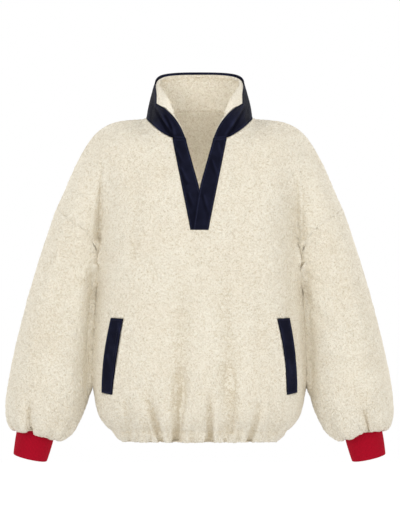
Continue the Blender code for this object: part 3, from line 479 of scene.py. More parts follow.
def smooth_noise(points, size, seed):
    """Three smooth noises from -1 to 1, with lumps of about this size."""
    cells = np.floor(points / size).astype(np.int64)
    t = points / size - cells
    t = t * t * (3 - 2 * t)
    total = np.zeros((len(points), 3))
    for corner in np.ndindex(2, 2, 2):
        weight = np.prod(np.where(np.array(corner, bool), t, 1 - t), axis=1)
        total += weight[:, None] * cell_random(cells + corner, seed)
    return 2 * total - 1


def clump_rise(points, size, seed):
    """From 0 on the lines between clumps of about this size to 1 at their middles."""
    cells = np.floor(points / size).astype(np.int64)
    near = np.full(len(points), np.inf)
    after = near.copy()
    for step in np.ndindex(3, 3, 3):
        cell = cells + np.array(step) - 1
        seeds = cell + cell_random(cell, seed)
        gap = np.linalg.norm(points / size - seeds, axis=1)
        after = np.minimum(after, np.maximum(near, gap))
        near = np.minimum(near, gap)
    return np.clip((after - near) / CLUMP_SLOPE, 0.0, 1.0)

# %% [markdown]
# ## Creases
# The solids hold the largest folds. The finer ones are listed here, as soft troughs along
# short lines: uneven in length, depth and spacing, sharp where the elastic gathers the hem, and
# broad where the cloth only gives. A ridge is a trough with a negative depth.

# %% Troughs on the body, in millimetres
Trough = namedtuple("Trough", "x1 z1 x2 z2 width depth")  # from its deep end to its shallow one


def troughs(*rows):
    return [Trough(*row) for row in rows]


FRONT_TROUGHS = troughs(
    (-134, -612, -140, -530, 6.0, 5.0),
    (-119, -608, -123, -578, 4.0, 2.5),
    (-107, -608, -108, -566, 4.5, 3.0),
    (-94, -612, -104, -560, 4.0, 4.0),
    (-75, -608, -98, -530, 4.0, 7.5),
    (-84, -590, -106, -500, 9.0, 4.0),
    (-64, -596, -80, -545, 5.0, -2.0),
    (-58, -606, -60, -580, 4.0, 2.5),
    (-44, -612, -38, -470, 8.0, 8.5),
    (-44, -608, -40, -545, 3.5, 3.5),
    (-30, -600, -25, -530, 7.0, -2.0),
    (-30, -606, -34, -578, 3.5, 2.5),
    (-14, -612, -17, -588, 4.0, 3.5),
    (2, -606, 4, -584, 3.5, 2.0),
    (20, -604, 17, -520, 4.0, 9.5),
    (13, -614, 18, -592, 3.0, 4.0),
    (25, -614, 21, -592, 3.0, 4.0),
    (28, -606, 27, -535, 5.5, -2.5),
    (36, -606, 41, -580, 4.0, 2.5),
    (49, -612, 53, -574, 4.0, 4.0),
    (60, -585, 52, -460, 10.0, 7.0),
    (74, -608, 77, -576, 4.0, 3.0),
    (94, -612, 116, -536, 4.2, 8.5),
    (106, -600, 126, -540, 7.0, -2.0),
    (112, -606, 122, -582, 4.0, 2.5),
    (128, -608, 134, -572, 4.5, 3.0),
    (143, -598, 166, -570, 5.0, 3.5),
    (-146, -596, -160, -566, 6.0, 3.0),
    (-38, -530, -36, -300, 12, 5.5),
    (56, -510, 44, -290, 12, 5.0),
    (8, -470, 4, -330, 14, -2.0),
    (116, -430, 100, -300, 13, 2.0),
    (-122, -250, -121, -70, 12, 2.6),
    (-72, -110, -70, -40, 9, 2.4),
    (68, -130, 66, -50, 8, 2.4),
    (110, -130, 106, -48, 10, 2.4),
    (172, -420, 170, -110, 12, 3.5),
    (-189, -220, -186, -76, 1.5, 4.0),
    (-195, -220, -191, -90, 5, 2.0),
    (-182.5, -225, -180, -84, 3.2, -1.8),
    (194.5, -220, 194, -84, 1.5, 3.2),
    (200, -220, 198, -90, 5, 1.2),
    (190, -225, 189.5, -90, 3.6, -1.6),
)
UNDERARM_RIDGES = troughs(  # where the front's fold runs out and the sleeve's begins, on both pieces
    (-192, -240, -195, -310, 7, -4.5),
    (192, -240, 195, -310, 7, -4.5),
)
BACK_TROUGHS = troughs(
    (-136, -610, -150, -545, 6.0, 3.5),
    (-120, -606, -123, -578, 4.0, 2.5),
    (-104, -612, -112, -552, 4.2, 6.0),
    (-90, -606, -94, -580, 4.0, 2.5),
    (-76, -612, -86, -520, 8.0, 6.0),
    (-61, -606, -63, -578, 4.0, 3.0),
    (-46, -612, -50, -560, 4.2, 7.5),
    (-36, -606, -38, -575, 5.0, -2.0),
    (-20, -612, -12, -500, 8.0, 6.0),
    (-6, -606, -4, -580, 4.0, 2.5),
    (10, -612, 12, -560, 4.2, 5.5),
    (25, -606, 22, -578, 4.0, 2.5),
    (38, -612, 30, -515, 4.2, 8.0),
    (53, -606, 55, -580, 4.0, 2.5),
    (68, -612, 74, -548, 6.0, 5.0),
    (84, -606, 88, -578, 4.0, 2.5),
    (98, -612, 112, -512, 4.5, 7.0),
    (114, -606, 121, -580, 4.0, 2.5),
    (129, -610, 146, -548, 6.0, 4.0),
    (148, -598, 166, -566, 5.0, 3.0),
    (-28, -520, -34, -330, 13, 2.6),
    (64, -480, 58, -290, 13, 2.6),
    (-104, -430, -118, -270, 13, 2.4),
    (168, -420, 160, -130, 13, 3.0),
    (-168, -400, -158, -140, 13, 3.0),
    (-52, -40, -84, -140, 12, 2.0),
    (56, -42, 92, -132, 12, 2.2),
    (-190, -240, -186, -96, 3, 2.6),
    (-181, -250, -178, -110, 6, -1.6),
    (190, -240, 187, -86, 3, 2.8),
    (181, -250, 178, -100, 6, -1.6),
    (206, -238, 240, -204, 7, 1.6),
    (-206, -238, -240, -204, 7, 1.6),
)
TROUGH_BEND = 0.35  # a trough's bow to one side, in its own width
TROUGH_SPREAD = 0.6  # how much wider its shallow end is
DEEP_END = 0.12  # the share of its length in which it runs out past its deep end
TROUGH_HOLD = 0.4  # the less, the longer it stays deep


def trough_depth(points, table):
    """How deep the troughs pull the cloth in at each point, in metres, in front view."""
    total = np.zeros(len(points))
    x, z = points[:, 0] / MM, points[:, 2] / MM
    for trough in table:
        dx, dz = trough.x2 - trough.x1, trough.z2 - trough.z1
        length = math.hypot(dx, dz)
        along = ((x - trough.x1) * dx + (z - trough.z1) * dz) / length**2
        across = ((x - trough.x1) * dz - (z - trough.z1) * dx) / length
        bend = trough.width * TROUGH_BEND * np.sin(math.pi * np.clip(along, 0, 1))
        wide = trough.width * (1 + TROUGH_SPREAD * np.clip(along, 0, 1))
        ends = np.clip(1 - along, 0, 1) * np.clip((along + DEEP_END) / DEEP_END, 0, 1)
        total += trough.depth * MM * ends**TROUGH_HOLD * np.exp(-(((across - bend) / wide) ** 2))
    return total


print("body troughs", len(FRONT_TROUGHS + UNDERARM_RIDGES + BACK_TROUGHS))

# %% The casing's seam and puckers
CASING_LINE = -0.5935
CASING_DIP = 1.8 * MM
CASING_WIDTH = 3.0 * MM
PUCKER = 0.8 * MM
PUCKER_PITCH = 15 * MM
HEM_EDGE = -0.614
HEM_TUCK = 8 * MM
HEM_DROP = 1.6 * MM
SCALLOP = 0.3  # how much of a trough's depth its end at the hem is lifted


def casing_depth(points):
    """The seam that holds the elastic dips unevenly, and the cloth below it puckers."""
    uneven = smooth_noise(points, 13 * MM, 31)
    seam = np.exp(-(((points[:, 2] - CASING_LINE + 1.5 * MM * uneven[:, 1]) / CASING_WIDTH) ** 2))
    below = np.clip((CASING_LINE + 0.012 - points[:, 2]) / 0.012, 0, 1)
    wave = np.cos(points[:, 0] / PUCKER_PITCH * 2 * math.pi + 2.5 * uneven[:, 2])
    return CASING_DIP * seam * (0.7 + 0.5 * uneven[:, 0]) + PUCKER * below * wave


def scallops(points, creases):
    """The hem hangs low between the gathers and is lifted at each of them."""
    low = np.clip((HEM_EDGE + 0.016 - points[:, 2]) / 0.016, 0, 1)
    return low * (SCALLOP * np.clip(creases, -2 * MM, 8 * MM) - HEM_DROP)


def tucked_corners(points):
    """The hem's elastic draws its two ends in, so the lower corners are round."""
    low = np.clip((HEM_EDGE + 0.034 - points[:, 2]) / 0.034, 0, 1) ** 2
    side = np.clip((np.abs(points[:, 0]) - 0.11) / 0.04, 0, 1)
    return -np.sign(points[:, 0]) * HEM_TUCK * low * side

# %% Troughs round a sleeve
SleeveTrough = namedtuple("SleeveTrough", "angle1 z1 angle2 z2 width depth")  # width in degrees


def sleeve_troughs(*rows):
    return [SleeveTrough(*row) for row in rows]


RIGHT_SLEEVE_TROUGHS = sleeve_troughs(
    (20, -596, 17, -560, 6, 2.5),
    (48, -596, 52, -570, 5, 2.0),
    (75, -608, 68, -536, 3.2, 11.0),
    (87, -600, 84, -550, 6, -3.0),
    (62, -600, 56, -560, 6, -1.5),
    (93, -598, 97, -572, 5, 2.0),
    (112, -600, 118, -556, 6, 3.0),
    (146, -600, 140, -560, 6, 2.5),
    (184, -600, 186, -564, 6, 2.5),
    (226, -600, 232, -560, 6, 3.0),
    (270, -600, 262, -546, 6, 3.5),
    (318, -600, 322, -560, 6, 3.0),
    (150, -290, 96, -330, 9, 2.6),
    (152, -330, 110, -392, 9, 2.0),
    (70, -470, 62, -330, 12, 1.8),
    (88, -420, 86, -190, 13, 2.4),
    (120, -420, 118, -200, 13, -1.8),
    (212, -292, 262, -336, 9, 2.6),
    (300, -440, 290, -340, 12, 1.8),
)
LEFT_SLEEVE_TROUGHS = sleeve_troughs(
    (28, -598, 24, -560, 6, 2.5),
    (58, -598, 62, -566, 5, 2.5),
    (76, -608, 80, -552, 3.2, 10.0),
    (78, -590, 78, -510, 8, 4.0),
    (90, -600, 92, -560, 6, -3.0),
    (112, -598, 116, -572, 5, 2.0),
    (138, -600, 134, -560, 6, 2.6),
    (178, -600, 180, -562, 6, 2.5),
    (216, -600, 210, -562, 6, 2.6),
    (256, -600, 262, -546, 6, 3.5),
    (302, -600, 298, -560, 6, 3.0),
    (148, -290, 100, -322, 9, 2.2),
    (150, -330, 104, -404, 9, 2.2),
    (84, -250, 74, -430, 12, 2.2),
    (116, -420, 116, -220, 13, -1.6),
    (52, -450, 48, -300, 12, 1.8),
    (210, -292, 258, -330, 9, 2.4),
    (250, -430, 262, -330, 12, 1.8),
)
SLEEVE_AXIS = ((-600, 308), (-520, 287), (-300, 255), (-170, 236))  # z, x
SLEEVE_DEEP_END = 0.2
LOBES = (  # the angle round the sleeve, and how far its puffed end hangs over the cuff there
    (0, 1), (35, 2.5), (60, 1), (75, -2), (92, 3), (125, 5),
    (165, 4), (200, 3.5), (250, 1), (300, 3), (360, 1),
)
LOBE_TOP = -0.556
LOBE_HEIGHT = 0.04


def line_at(values, line):
    """A line of (at, value) pairs in millimetres, read at these values in metres."""
    at, value = np.array(line, float).T
    return np.interp(values / MM, at, value) * MM


def sleeve_angles(points):
    """The angle round the sleeve in degrees: 0 is the outside and 90 the front, on either arm."""
    out = np.abs(points[:, 0]) - line_at(points[:, 2], SLEEVE_AXIS)
    return np.degrees(np.arctan2(-points[:, 1], out)) % 360


def sleeve_trough_depth(points, table):
    """How deep the troughs round a sleeve pull the cloth in at each point, in metres."""
    total = np.zeros(len(points))
    angles, z = sleeve_angles(points), points[:, 2] / MM
    for trough in table:
        along = (z - trough.z1) / (trough.z2 - trough.z1)
        middle = trough.angle1 + (trough.angle2 - trough.angle1) * np.clip(along, 0, 1)
        across = ((angles - middle + 180) % 360 - 180) / trough.width
        ends = np.clip(1 - along, 0, 1) * np.clip((along + SLEEVE_DEEP_END) / SLEEVE_DEEP_END, 0, 1)
        total += trough.depth * MM * np.sqrt(ends) * np.exp(-(across**2))
    return total


def lobe_drop(points):
    """How much lower the sleeve's puffed end hangs at each point."""
    angles, drops = np.array(LOBES, float).T
    low = np.clip((LOBE_TOP - points[:, 2]) / LOBE_HEIGHT, 0, 1)
    return np.interp(sleeve_angles(points), angles, drops) * MM * low * low * (3 - 2 * low)


print("sleeve troughs", len(RIGHT_SLEEVE_TROUGHS + LEFT_SLEEVE_TROUGHS))

# %% [markdown]
# ## The pile
# Sherpa's pile is thousands of tiny curls that cling together in clumps, with dark crevices
# between them. It could be hair, but a curl is only a few millimetres long and the clumps are what
# shows, so the wall itself is raised into clumps. Each point also stores how high it lies, and the
# fleece's colour and relief use that number: the colour is painted darker the lower a point lies,
# as painted shade in the crevices.

# %% Raise the clumps
CLUMP = 5.2 * MM
SMALL_CLUMP = 3.1 * MM
CREVICE = 1.9 * MM
CROWN_LIFT = 0.5 * MM
SWIRL = 0.42  # how far the clumps are twisted, in their own size
TUFT_SIZE = 15 * MM
TUFT_HEIGHT = 0.7 * MM


def pile_height(points):
    """How far the pile stands off the smooth wall, and from 0 to 1 how high in the curls that is."""
    twist = smooth_noise(points, 1.9 * CLUMP, 11) * SWIRL * CLUMP
    broad = clump_rise(points + twist, CLUMP, 3)
    small = clump_rise(points + twist, SMALL_CLUMP, 5)
    crown = np.sin(broad * math.pi / 2) * 0.72 + np.sin(small * math.pi / 2) * 0.28
    tufts = smooth_noise(points, TUFT_SIZE, 7)[:, 0]
    return CROWN_LIFT + CREVICE * (crown - 1) + TUFT_HEIGHT * tufts, crown

# %% [markdown]
# ## Where the pieces meet
# Each fleece piece is shaped by its neighbours. Where a sleeve hangs against the body, the pile of
# both swells until the gap is shut. At a seam the pile is drawn in and closes up with the other
# piece's. Beside the woven trim it stands up and leans over the edge, because the trim is sewn
# down into it.

# %% Distance to the neighbours
def tree_of(names):
    """A search tree of several nodes' surfaces."""
    points, faces = [], []
    for name in names:
        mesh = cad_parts[name].data
        start = len(points)
        points += [v.co.copy() for v in mesh.vertices]
        faces += [[start + i for i in face.vertices] for face in mesh.polygons]
    return BVHTree.FromPolygons(points, faces)


def nearest_to(names, points, reach):
    """How far each point is from the nodes named, up to reach, and the way there."""
    gaps = np.full(len(points), reach)
    ways = np.zeros_like(points)
    if not names:
        return gaps, ways
    near = np.zeros(len(points), bool)
    for low, high in (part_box(name) for name in names):
        near |= ((points > np.array(low) - reach) & (points < np.array(high) + reach)).all(axis=1)
    tree = tree_of(names)
    for i in np.flatnonzero(near):
        spot, _, _, gap = tree.find_nearest(Vector(points[i]), reach)
        if spot is not None:
            gaps[i] = gap
            ways[i] = (np.array(spot) - points[i]) / max(gap, 1e-9)
    return gaps, ways

# %% Where the sleeves lie against the body
UNDERARM = -0.305
TOUCH_TOP = -0.205
TOUCH_FADE_IN = 0.07
TOUCH_FOOT = -0.528
TOUCH_FADE_OUT = 0.03
TOUCH_REACH = 13 * MM
TOUCH_PRESS = 2.4 * MM
SLEEVE_SHARE = 0.8  # the soft sleeve gives way to the body and fills most of the gap
FACING = (0.3, 0.7)  # how squarely two sides look at each other, from not at all to fully pressed
FILL = 9 * MM
FILL_REACH = 26 * MM
ARM_CREASE = (  # z, x of the crease between the body and an arm
    (-600, 212), (-480, 205), (-420, 201), (-320, 196), (-280, 192), (-240, 189), (-120, 187),
)
ARM_FOOT = -0.36
ARM_FILL = 10 * MM
ARM_FILL_TOP = -0.10
ARM_WIDTH = 13 * MM
ARM_FINE = 7 * MM
ARM_FINE_TOP = -0.07


def beside_arm_crease(points, shift):
    """How far a point is outside the arm crease, once that is moved out by shift."""
    return np.abs(points[:, 0]) - line_at(points[:, 2], ARM_CREASE) - shift


def in_arm_crease(points):
    """Whether a point is near the arm crease in front, where the mesh is finest."""
    across = np.abs(beside_arm_crease(points, ARM_FINE * 0.3))
    high = (points[:, 2] > ARM_FOOT) & (points[:, 2] < ARM_FINE_TOP)
    return (across < ARM_FINE) & high & (points[:, 1] < 0)


def settled(wall, others, share):
    """The points, once the pile has swollen by its share of the gap to the pieces it lies against
    and has filled the groove beside them."""
    if not others:
        return wall.points
    normals, has = side_normals(wall, OUTER)
    gaps, ways = nearest_to(others, wall.points, 2 * FILL_REACH)
    z = wall.points[:, 2]
    level = np.clip((TOUCH_TOP - z) / TOUCH_FADE_IN, 0, 1)
    level *= np.clip((z - TOUCH_FOOT) / TOUCH_FADE_OUT, 0, 1)
    facing = np.clip(((ways * normals).sum(axis=1) - FACING[0]) / (FACING[1] - FACING[0]), 0, 1)
    fade = np.clip((TOUCH_REACH - gaps) / (4 * MM), 0, 1)
    push = normals * ((gaps * share + TOUCH_PRESS) * facing * level * fade)[:, None]
    below = np.clip((UNDERARM + 0.05 - z) / 0.08, 0, 1)
    fill = FILL * np.exp(-((gaps / FILL_REACH) ** 2)) * below
    across = beside_arm_crease(wall.points, ARM_WIDTH * 0.25)
    above = np.clip((z - ARM_FOOT) / 0.08, 0, 1) * np.clip((ARM_FILL_TOP - z) / 0.06, 0, 1)
    fill += ARM_FILL * np.exp(-((across / ARM_WIDTH) ** 2)) * above
    push[:, 1] += normals[:, 1] * fill
    push[~has] = 0
    return wall.points + push

# %% Where the trim lies on the fleece
WELT_MIDDLE = (0.175, 0.156)  # of a welt, out from the garment's middle, at its foot and its head
WELT_HALF = 0.012
WELT_TURN = 3.4 * MM  # the upper end of the right welt leans this much further in
WELT_BOW = 4.4 * MM  # and its inner edge bows in by this much
WELT_SLOPE = 0.5  # of the front there, seen from above
WELT_REACH = 0.045
STRIP_HALF = 0.035  # the two strips together
FOOT_TOP = -0.198
FOOT_DROP = 2.4 * MM


def welt_across(points, up):
    """From -1 at a welt's inner edge to 1 at its outer edge, at a share of its height."""
    return (np.abs(points[:, 0]) - np.interp(up, (0, 1), WELT_MIDDLE)) / WELT_HALF


def welt_turn(points):
    """The right welt's lean and bow, along the slope of the front under it."""
    low, high = (np.array(corner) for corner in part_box("pocket_welt_right"))
    around = (np.abs(points[:, 0] - (low[0] + high[0]) / 2) < WELT_REACH) & (points[:, 1] < low[1] + 0.03)
    up = np.clip((points[:, 2] - low[2]) / (high[2] - low[2]), 0, 1.1) * around
    inner = np.clip((1 - welt_across(points, up)) / 2, 0, 1)
    lean = WELT_TURN * up**2 + WELT_BOW * inner * np.clip(np.sin(math.pi * up), 0, 1)
    return np.stack([lean, -lean * WELT_SLOPE, np.zeros(len(points))], axis=1)


def foot_drop(points):
    """The strips' feet reach this much further down."""
    x, y, z = points.T
    around = (np.abs(x) < STRIP_HALF) & (y < -0.05) & (z > FOOT_TOP - 0.042)
    down = FOOT_DROP * np.clip((FOOT_TOP - z) / 0.012, 0, 1) * around
    return np.stack([0 * down, 0 * down, -down], axis=1)


def trim_shift(points):
    """How far the trim over these points is moved from where its solid is."""
    return welt_turn(points) + foot_drop(points)

# %% Draw the seams in
SEAM_DEPTH = 1.7 * MM
SEAM_WIDTH = 2.4 * MM
ARMHOLE_DEPTH = 0.9 * MM
ARMHOLE_FOOT = UNDERARM + 0.02
MEET_REACH = 1.6 * MM  # pile this near to a sewn neighbour closes up with it
MEET_FADE = 0.5 * MM
MEET_PRESS = 0.4 * MM
REACH = 9 * MM


def seam_gap(piece, points):
    """How far each point is from what it is sewn to, how far the seam draws it in, and the move
    that closes it up with the other piece's edge."""
    gap, ways = nearest_to(piece.seams, points, REACH)
    drawn = SEAM_DEPTH * np.exp(-((gap / SEAM_WIDTH) ** 2))
    if piece.touches:
        armhole, there = nearest_to(piece.touches, points, REACH)
        armhole = np.where(points[:, 2] > UNDERARM, armhole, REACH)
        fade = np.clip((points[:, 2] - ARMHOLE_FOOT) / 0.05, 0, 1)
        drawn = np.maximum(drawn, ARMHOLE_DEPTH * fade * np.exp(-((armhole / SEAM_WIDTH) ** 2)))
        ways = np.where((armhole < gap)[:, None], there, ways)
        gap = np.minimum(gap, armhole)
    share = np.clip(MEET_REACH - gap, 0, MEET_FADE) / MEET_FADE
    return gap, drawn, ways * (share * (gap / 2 + MEET_PRESS))[:, None]

# %% [markdown]
# ## One fleece piece
# The smooth wall is pressed by its neighbours and cut fine where it shows. Then every point moves
# once, by the sum of its creases, its seams and its pile, so the clumps follow each fold. The
# inner side only makes room for the creases, and the rim takes the mean of both sides.

# %% Build one fleece piece
EDGE_RISE = 2.0 * MM
EDGE_PLACE = 2.2 * MM
EDGE_WIDTH = 1.8 * MM
UNDER_TRIM = 1.1 * MM  # nearer than this the pile lies under the trim
UNDER_PRESS = 0.9 * MM
SEAM_CALM = 0.25  # the share of the pile's height that is left at a seam
INNER_FOLLOW = 0.5  # how much of a trough the inner side follows
INNER_ROOM = 3.5 * MM  # and how thin the wall may get there
HEM_LINE = -0.585
SHOWN_INSIDE = -0.17  # above this the inside shows through the neck
INSIDE_PILE = 0.8
NECK_EDGE = 6 * MM
TRIM_EDGE = 2.5 * MM
PLAIN_EDGE = 14 * MM
BESIDE_TRIM = (0.7 * MM, 4 * MM)  # the gaps between which the pile meets the edge of a trim
CREASE_SHADE_DEPTH = 9.5 * MM  # a trough this deep is painted the crevices' colour, as painted shade
PLAIN_TONE = 0.7
Fleece = namedtuple("Fleece", "name axis shape creases seams touches pile_side edge")


def fine_wall(piece):
    """The piece's triangles, cut where the detail is: the points as settled, and as they were."""
    wall = smooth_wall(piece.name, 2, Vector(piece.axis))
    middles = wall.points[wall.corners].mean(axis=1)
    if piece.pile_side == OUTER:
        wall.sides[(wall.sides == RIM) & (middles[:, 2] < HEM_LINE)] = OUTER

    def longest(places, sides):
        gap = places[:, 6]
        finest = in_arm_crease(places) | ((gap > BESIDE_TRIM[0]) & (gap < BESIDE_TRIM[1]))
        inside = (sides == INNER) & (places[:, 2] > SHOWN_INSIDE) & (piece.name == "back")
        edge = np.where(finest, TRIM_EDGE, piece.edge)
        return np.where(sides == piece.pile_side, edge, np.where(inside, NECK_EDGE, PLAIN_EDGE))

    share = SLEEVE_SHARE if piece.name in SLEEVES else 1 - SLEEVE_SHARE
    trim_gap = nearest_to(TRIMS, wall.points - trim_shift(wall.points), REACH)[0]
    carried = np.column_stack([settled(wall, piece.touches, share), wall.points, trim_gap])
    carried, corners, sides = refined(Wall(carried, wall.corners, wall.sides), longest)
    return Wall(carried[:, :3].copy(), corners, sides), carried[:, 3:6]


def fleece_wall(piece):
    """The fleece piece's mesh arrays, and at each point the height in the curls with the creases' painted
    shade and light added, which the colour uses.
    """
    wall, at_rest = fine_wall(piece)
    points = wall.points
    if piece.name in PANELS:
        points[:, 0] += tucked_corners(points)
    creases = piece.creases(points)
    moves = np.zeros_like(points)
    pile_shading = np.full(len(points), PLAIN_TONE)
    moved = np.zeros(len(points), bool)
    rise, crown = pile_height(points)
    seam, drawn, meet = seam_gap(piece, at_rest)
    edge = nearest_to(TRIMS, points - trim_shift(points) * (piece.name == "front"), REACH)[0]
    rise *= np.clip((seam - 0.3 * MM) / (2 * MM), SEAM_CALM, 1)
    leaning = EDGE_RISE * np.exp(-(((edge - EDGE_PLACE) / EDGE_WIDTH) ** 2))
    seen = np.clip((points[:, 2] - SHOWN_INSIDE) / 0.03, 0, 1)
    for side in (INNER, OUTER):
        normal, has = side_normals(wall, side)
        height = np.zeros(len(points))
        if side == piece.pile_side:
            height = rise - drawn + np.where(edge < UNDER_TRIM, -UNDER_PRESS, leaning)
            # painted shade and light: the colour is darker in the troughs and lighter on the ridges
            pile_shading[has] = (crown - np.clip(creases / CREASE_SHADE_DEPTH, -0.3, 1.2))[has]
        elif piece.name == "back":
            height = rise * seen * INSIDE_PILE
            pile_shading[has] = np.where(seen > 0, crown, PLAIN_TONE)[has]
        moves[has] = (normal * height[:, None] + piece.shape(points, normal, side, creases))[has]
        moved |= has
    moves = spread_over_rim(wall, moves, moved) + meet
    if piece.name in PANELS:
        moves[:, 2] += scallops(points, creases)
    elif piece.touches:
        moves[:, 2] -= lobe_drop(points)
    return Wall(points + moves, wall.corners, wall.sides), pile_shading


def creased(points, normal, side, creases):
    """The outer side goes in level by the troughs' depth, and the inner side makes room for it."""
    level = normal * np.array([1, 1, 0])
    level /= np.maximum(np.linalg.norm(level, axis=1), 0.3)[:, None]
    follow = np.maximum(creases * INNER_FOLLOW, creases - INNER_ROOM)
    return level * (-creases if side == OUTER else follow)[:, None]

# %% Make an object from mesh arrays
def make_piece(name, wall, finish, stored=None, sharp_from=None):
    """A smooth object with its finish and its stored numbers."""
    mesh = bpy.data.meshes.new(name)
    mesh.vertices.add(len(wall.points))
    mesh.vertices.foreach_set("co", wall.points.ravel())
    mesh.loops.add(wall.corners.size)
    mesh.loops.foreach_set("vertex_index", wall.corners.ravel())
    mesh.polygons.add(len(wall.corners))
    mesh.polygons.foreach_set("loop_start", np.arange(0, wall.corners.size, wall.corners.shape[1]))
    mesh.update(calc_edges=True)
    mesh.shade_smooth()
    if sharp_from:
        mesh.set_sharp_from_angle(angle=sharp_from)
    for label, values in (stored or {}).items():
        mesh.attributes.new(label, "FLOAT", "POINT").data.foreach_set("value", values)
    mesh.materials.append(finish.material)
    piece = bpy.data.objects.new(name, mesh)
    bpy.context.scene.collection.objects.link(piece)
    return piece

# %% [markdown]
# ## Fleece finish
# The wool-like polyester is a warm off-white. Its colour is painted deeper and warmer in the
# crevices, as painted shade, and lighter on the tips. Each curl is a bundle of fine fibres that run in
# short worms: ridges of warped noise stand for them, in the relief and in the colour, where the gaps
# between them are painted shade. A faint sheen lights the tips of the pile where the cloth turns away.

# %% The fleece
CREAM = (0.92, 0.865, 0.735)
CREVICE_SHADE_CREAM = (0.64, 0.545, 0.39)
DUSKY_CREAM = (0.88, 0.805, 0.665)
WARP_SIZE = 5.0 * MM
WARP_REACH = 2.6 * MM
WORM_SIZE = 2.1 * MM
CURL_SIZE = 3.6 * MM

fleece = Finish("sherpa_fleece", Roughness=0.95, Specular_IOR_Level=0.15)
fleece.set({"Sheen_Weight": 0.2, "Sheen_Roughness": 0.6, "Sheen_Tint": (1.0, 0.97, 0.9)})
warp = fleece.node("ShaderNodeTexNoise", None,
                   {"Vector": fleece.place(), "Scale": 1 / WARP_SIZE}, "Color")
bent = fleece.node("ShaderNodeVectorMath", {"operation": "MULTIPLY_ADD"},
                   {0: warp, 1: (WARP_REACH,) * 3, 2: fleece.place()})
worm_noise = fleece.node("ShaderNodeTexNoise", None,
                         {"Vector": bent, "Scale": 1 / WORM_SIZE, "Detail": 1.0}, "Fac")
worms = 1 - 4.5 * fleece.node("ShaderNodeMath", {"operation": "ABSOLUTE"}, {0: worm_noise - 0.5})
curls = 1 - fleece.node("ShaderNodeTexVoronoi", {"feature": "SMOOTH_F1"},
                        {"Vector": bent, "Scale": 1 / CURL_SIZE, "Smoothness": 0.4}, "Distance")
# painted shade: the colour goes to the crevice colour between the worms and curls, low in the clumps and
# in the creases' troughs, and to the tip colour on top
pile = worms * 0.54 + curls * 0.45 + fleece.stored("curl") * 0.36
lit_share = fleece.ramp(pile, 0.05, 1.05)
broad_tone = fleece.ramp(fleece.speckle(55 * MM, 2.0), 0.35, 0.7)
tip_colour = fleece.shades(broad_tone * 0.5, CREAM, DUSKY_CREAM)
fleece.set({"Base_Color": fleece.shades(lit_share, CREVICE_SHADE_CREAM, tip_colour)})
fleece.relief(worms * 0.4 + curls, 1.3 * MM)
print("material", fleece.material.name)

# %% Shape the facing's rolled front edges
FOLD_LINE = ((5.7, 44.6), (24.7, 54.2), (38.0, 59.8), (51.3, 66.5), (62.7, 71.2), (78.0, 74.0))  # z, x
FOLD_PLACE = ((0, -56), (25, -42), (48, -24), (60, -4), (70, 16), (82, 40))  # z, y
FOLD_REACH = ((25, 26), (50, 23), (62, 15), (84, 11))  # z, reach
FOLD_MOST = 27 * MM
RIM_DROP = 2.4 * MM
NECK_SEAM = 0.013
FOLD_ROOM = 2.2 * MM  # between the facing and the collar's creases
TOP_LINE = ((-71, 25), (-4, 62), (52.5, 84.5), (61.5, 86.5))  # y, z of the collar's top edge


def facing_shape(points, normal, side, creases):
    """Where the stand collar opens, its soft inner side rolls inwards along a fold on each side."""
    x, y, z = points.T
    top = line_at(y, TOP_LINE)
    back = np.clip((y + 0.045) / 0.045, 0, 1)
    moves = np.zeros_like(points)
    moves[:, 2] = -RIM_DROP * back * np.exp(-(((top - z) / 0.007) ** 2))
    if side == OUTER:
        room = np.clip((top - z - 0.003) / 0.006, 0, 1)
        moves -= normal * (FOLD_ROOM * room)[:, None]
    if side == INNER:
        fold = line_at(z, FOLD_LINE)
        across = np.exp(-(((y - line_at(z, FOLD_PLACE)) / line_at(z, FOLD_REACH)) ** 2))
        inside = np.clip((np.abs(x) - fold) / 1.0, 0, FOLD_MOST) * across
        inside *= np.clip((top - z) / 0.006, 0, 1) * np.clip((z + 0.002) / 0.012, 0, 1)
        moves[:, 0] = -np.sign(x) * inside
    return moves

# %% Make the fleece pieces
TRIMS = ["collar", "placket_left", "placket_right", "pocket_welt_left", "pocket_welt_right"]
PANELS = ["front", "back"]
SLEEVES = ["sleeve_left", "sleeve_right"]
SLEEVE_MIDDLE = 0.275
BODY_EDGE = 4.0 * MM  # the longest edge of the pile's mesh on the body
FINE_EDGE = 3.3 * MM  # and on the smaller pieces


def panel_creases(table):
    return lambda points: trough_depth(points, table) + casing_depth(points)


def sleeve_creases(table):
    """A sleeve's own troughs, and the ridge that it shares with the front."""
    return lambda points: (sleeve_trough_depth(points, table)
                           + trough_depth(points, UNDERARM_RIDGES) * (points[:, 1] < 0))


def facing_painted_light(points):
    """Only painted light and shade: lighter in front of the fold, as a painted highlight, and darker
    behind it and along the neck seam, as painted shade.
    """
    x, y, z = points.T
    beyond = y - line_at(z, FOLD_PLACE)
    in_front = np.clip((0.006 - beyond) / 0.012, 0, 1)
    behind = np.exp(-(((beyond - 0.022) / 0.014) ** 2))
    neck_seam = np.exp(-(((z - NECK_SEAM) / 0.0035) ** 2)) * (y > 0.02)
    return CREASE_SHADE_DEPTH * (0.55 * behind + 0.5 * neck_seam - 0.3 * in_front)


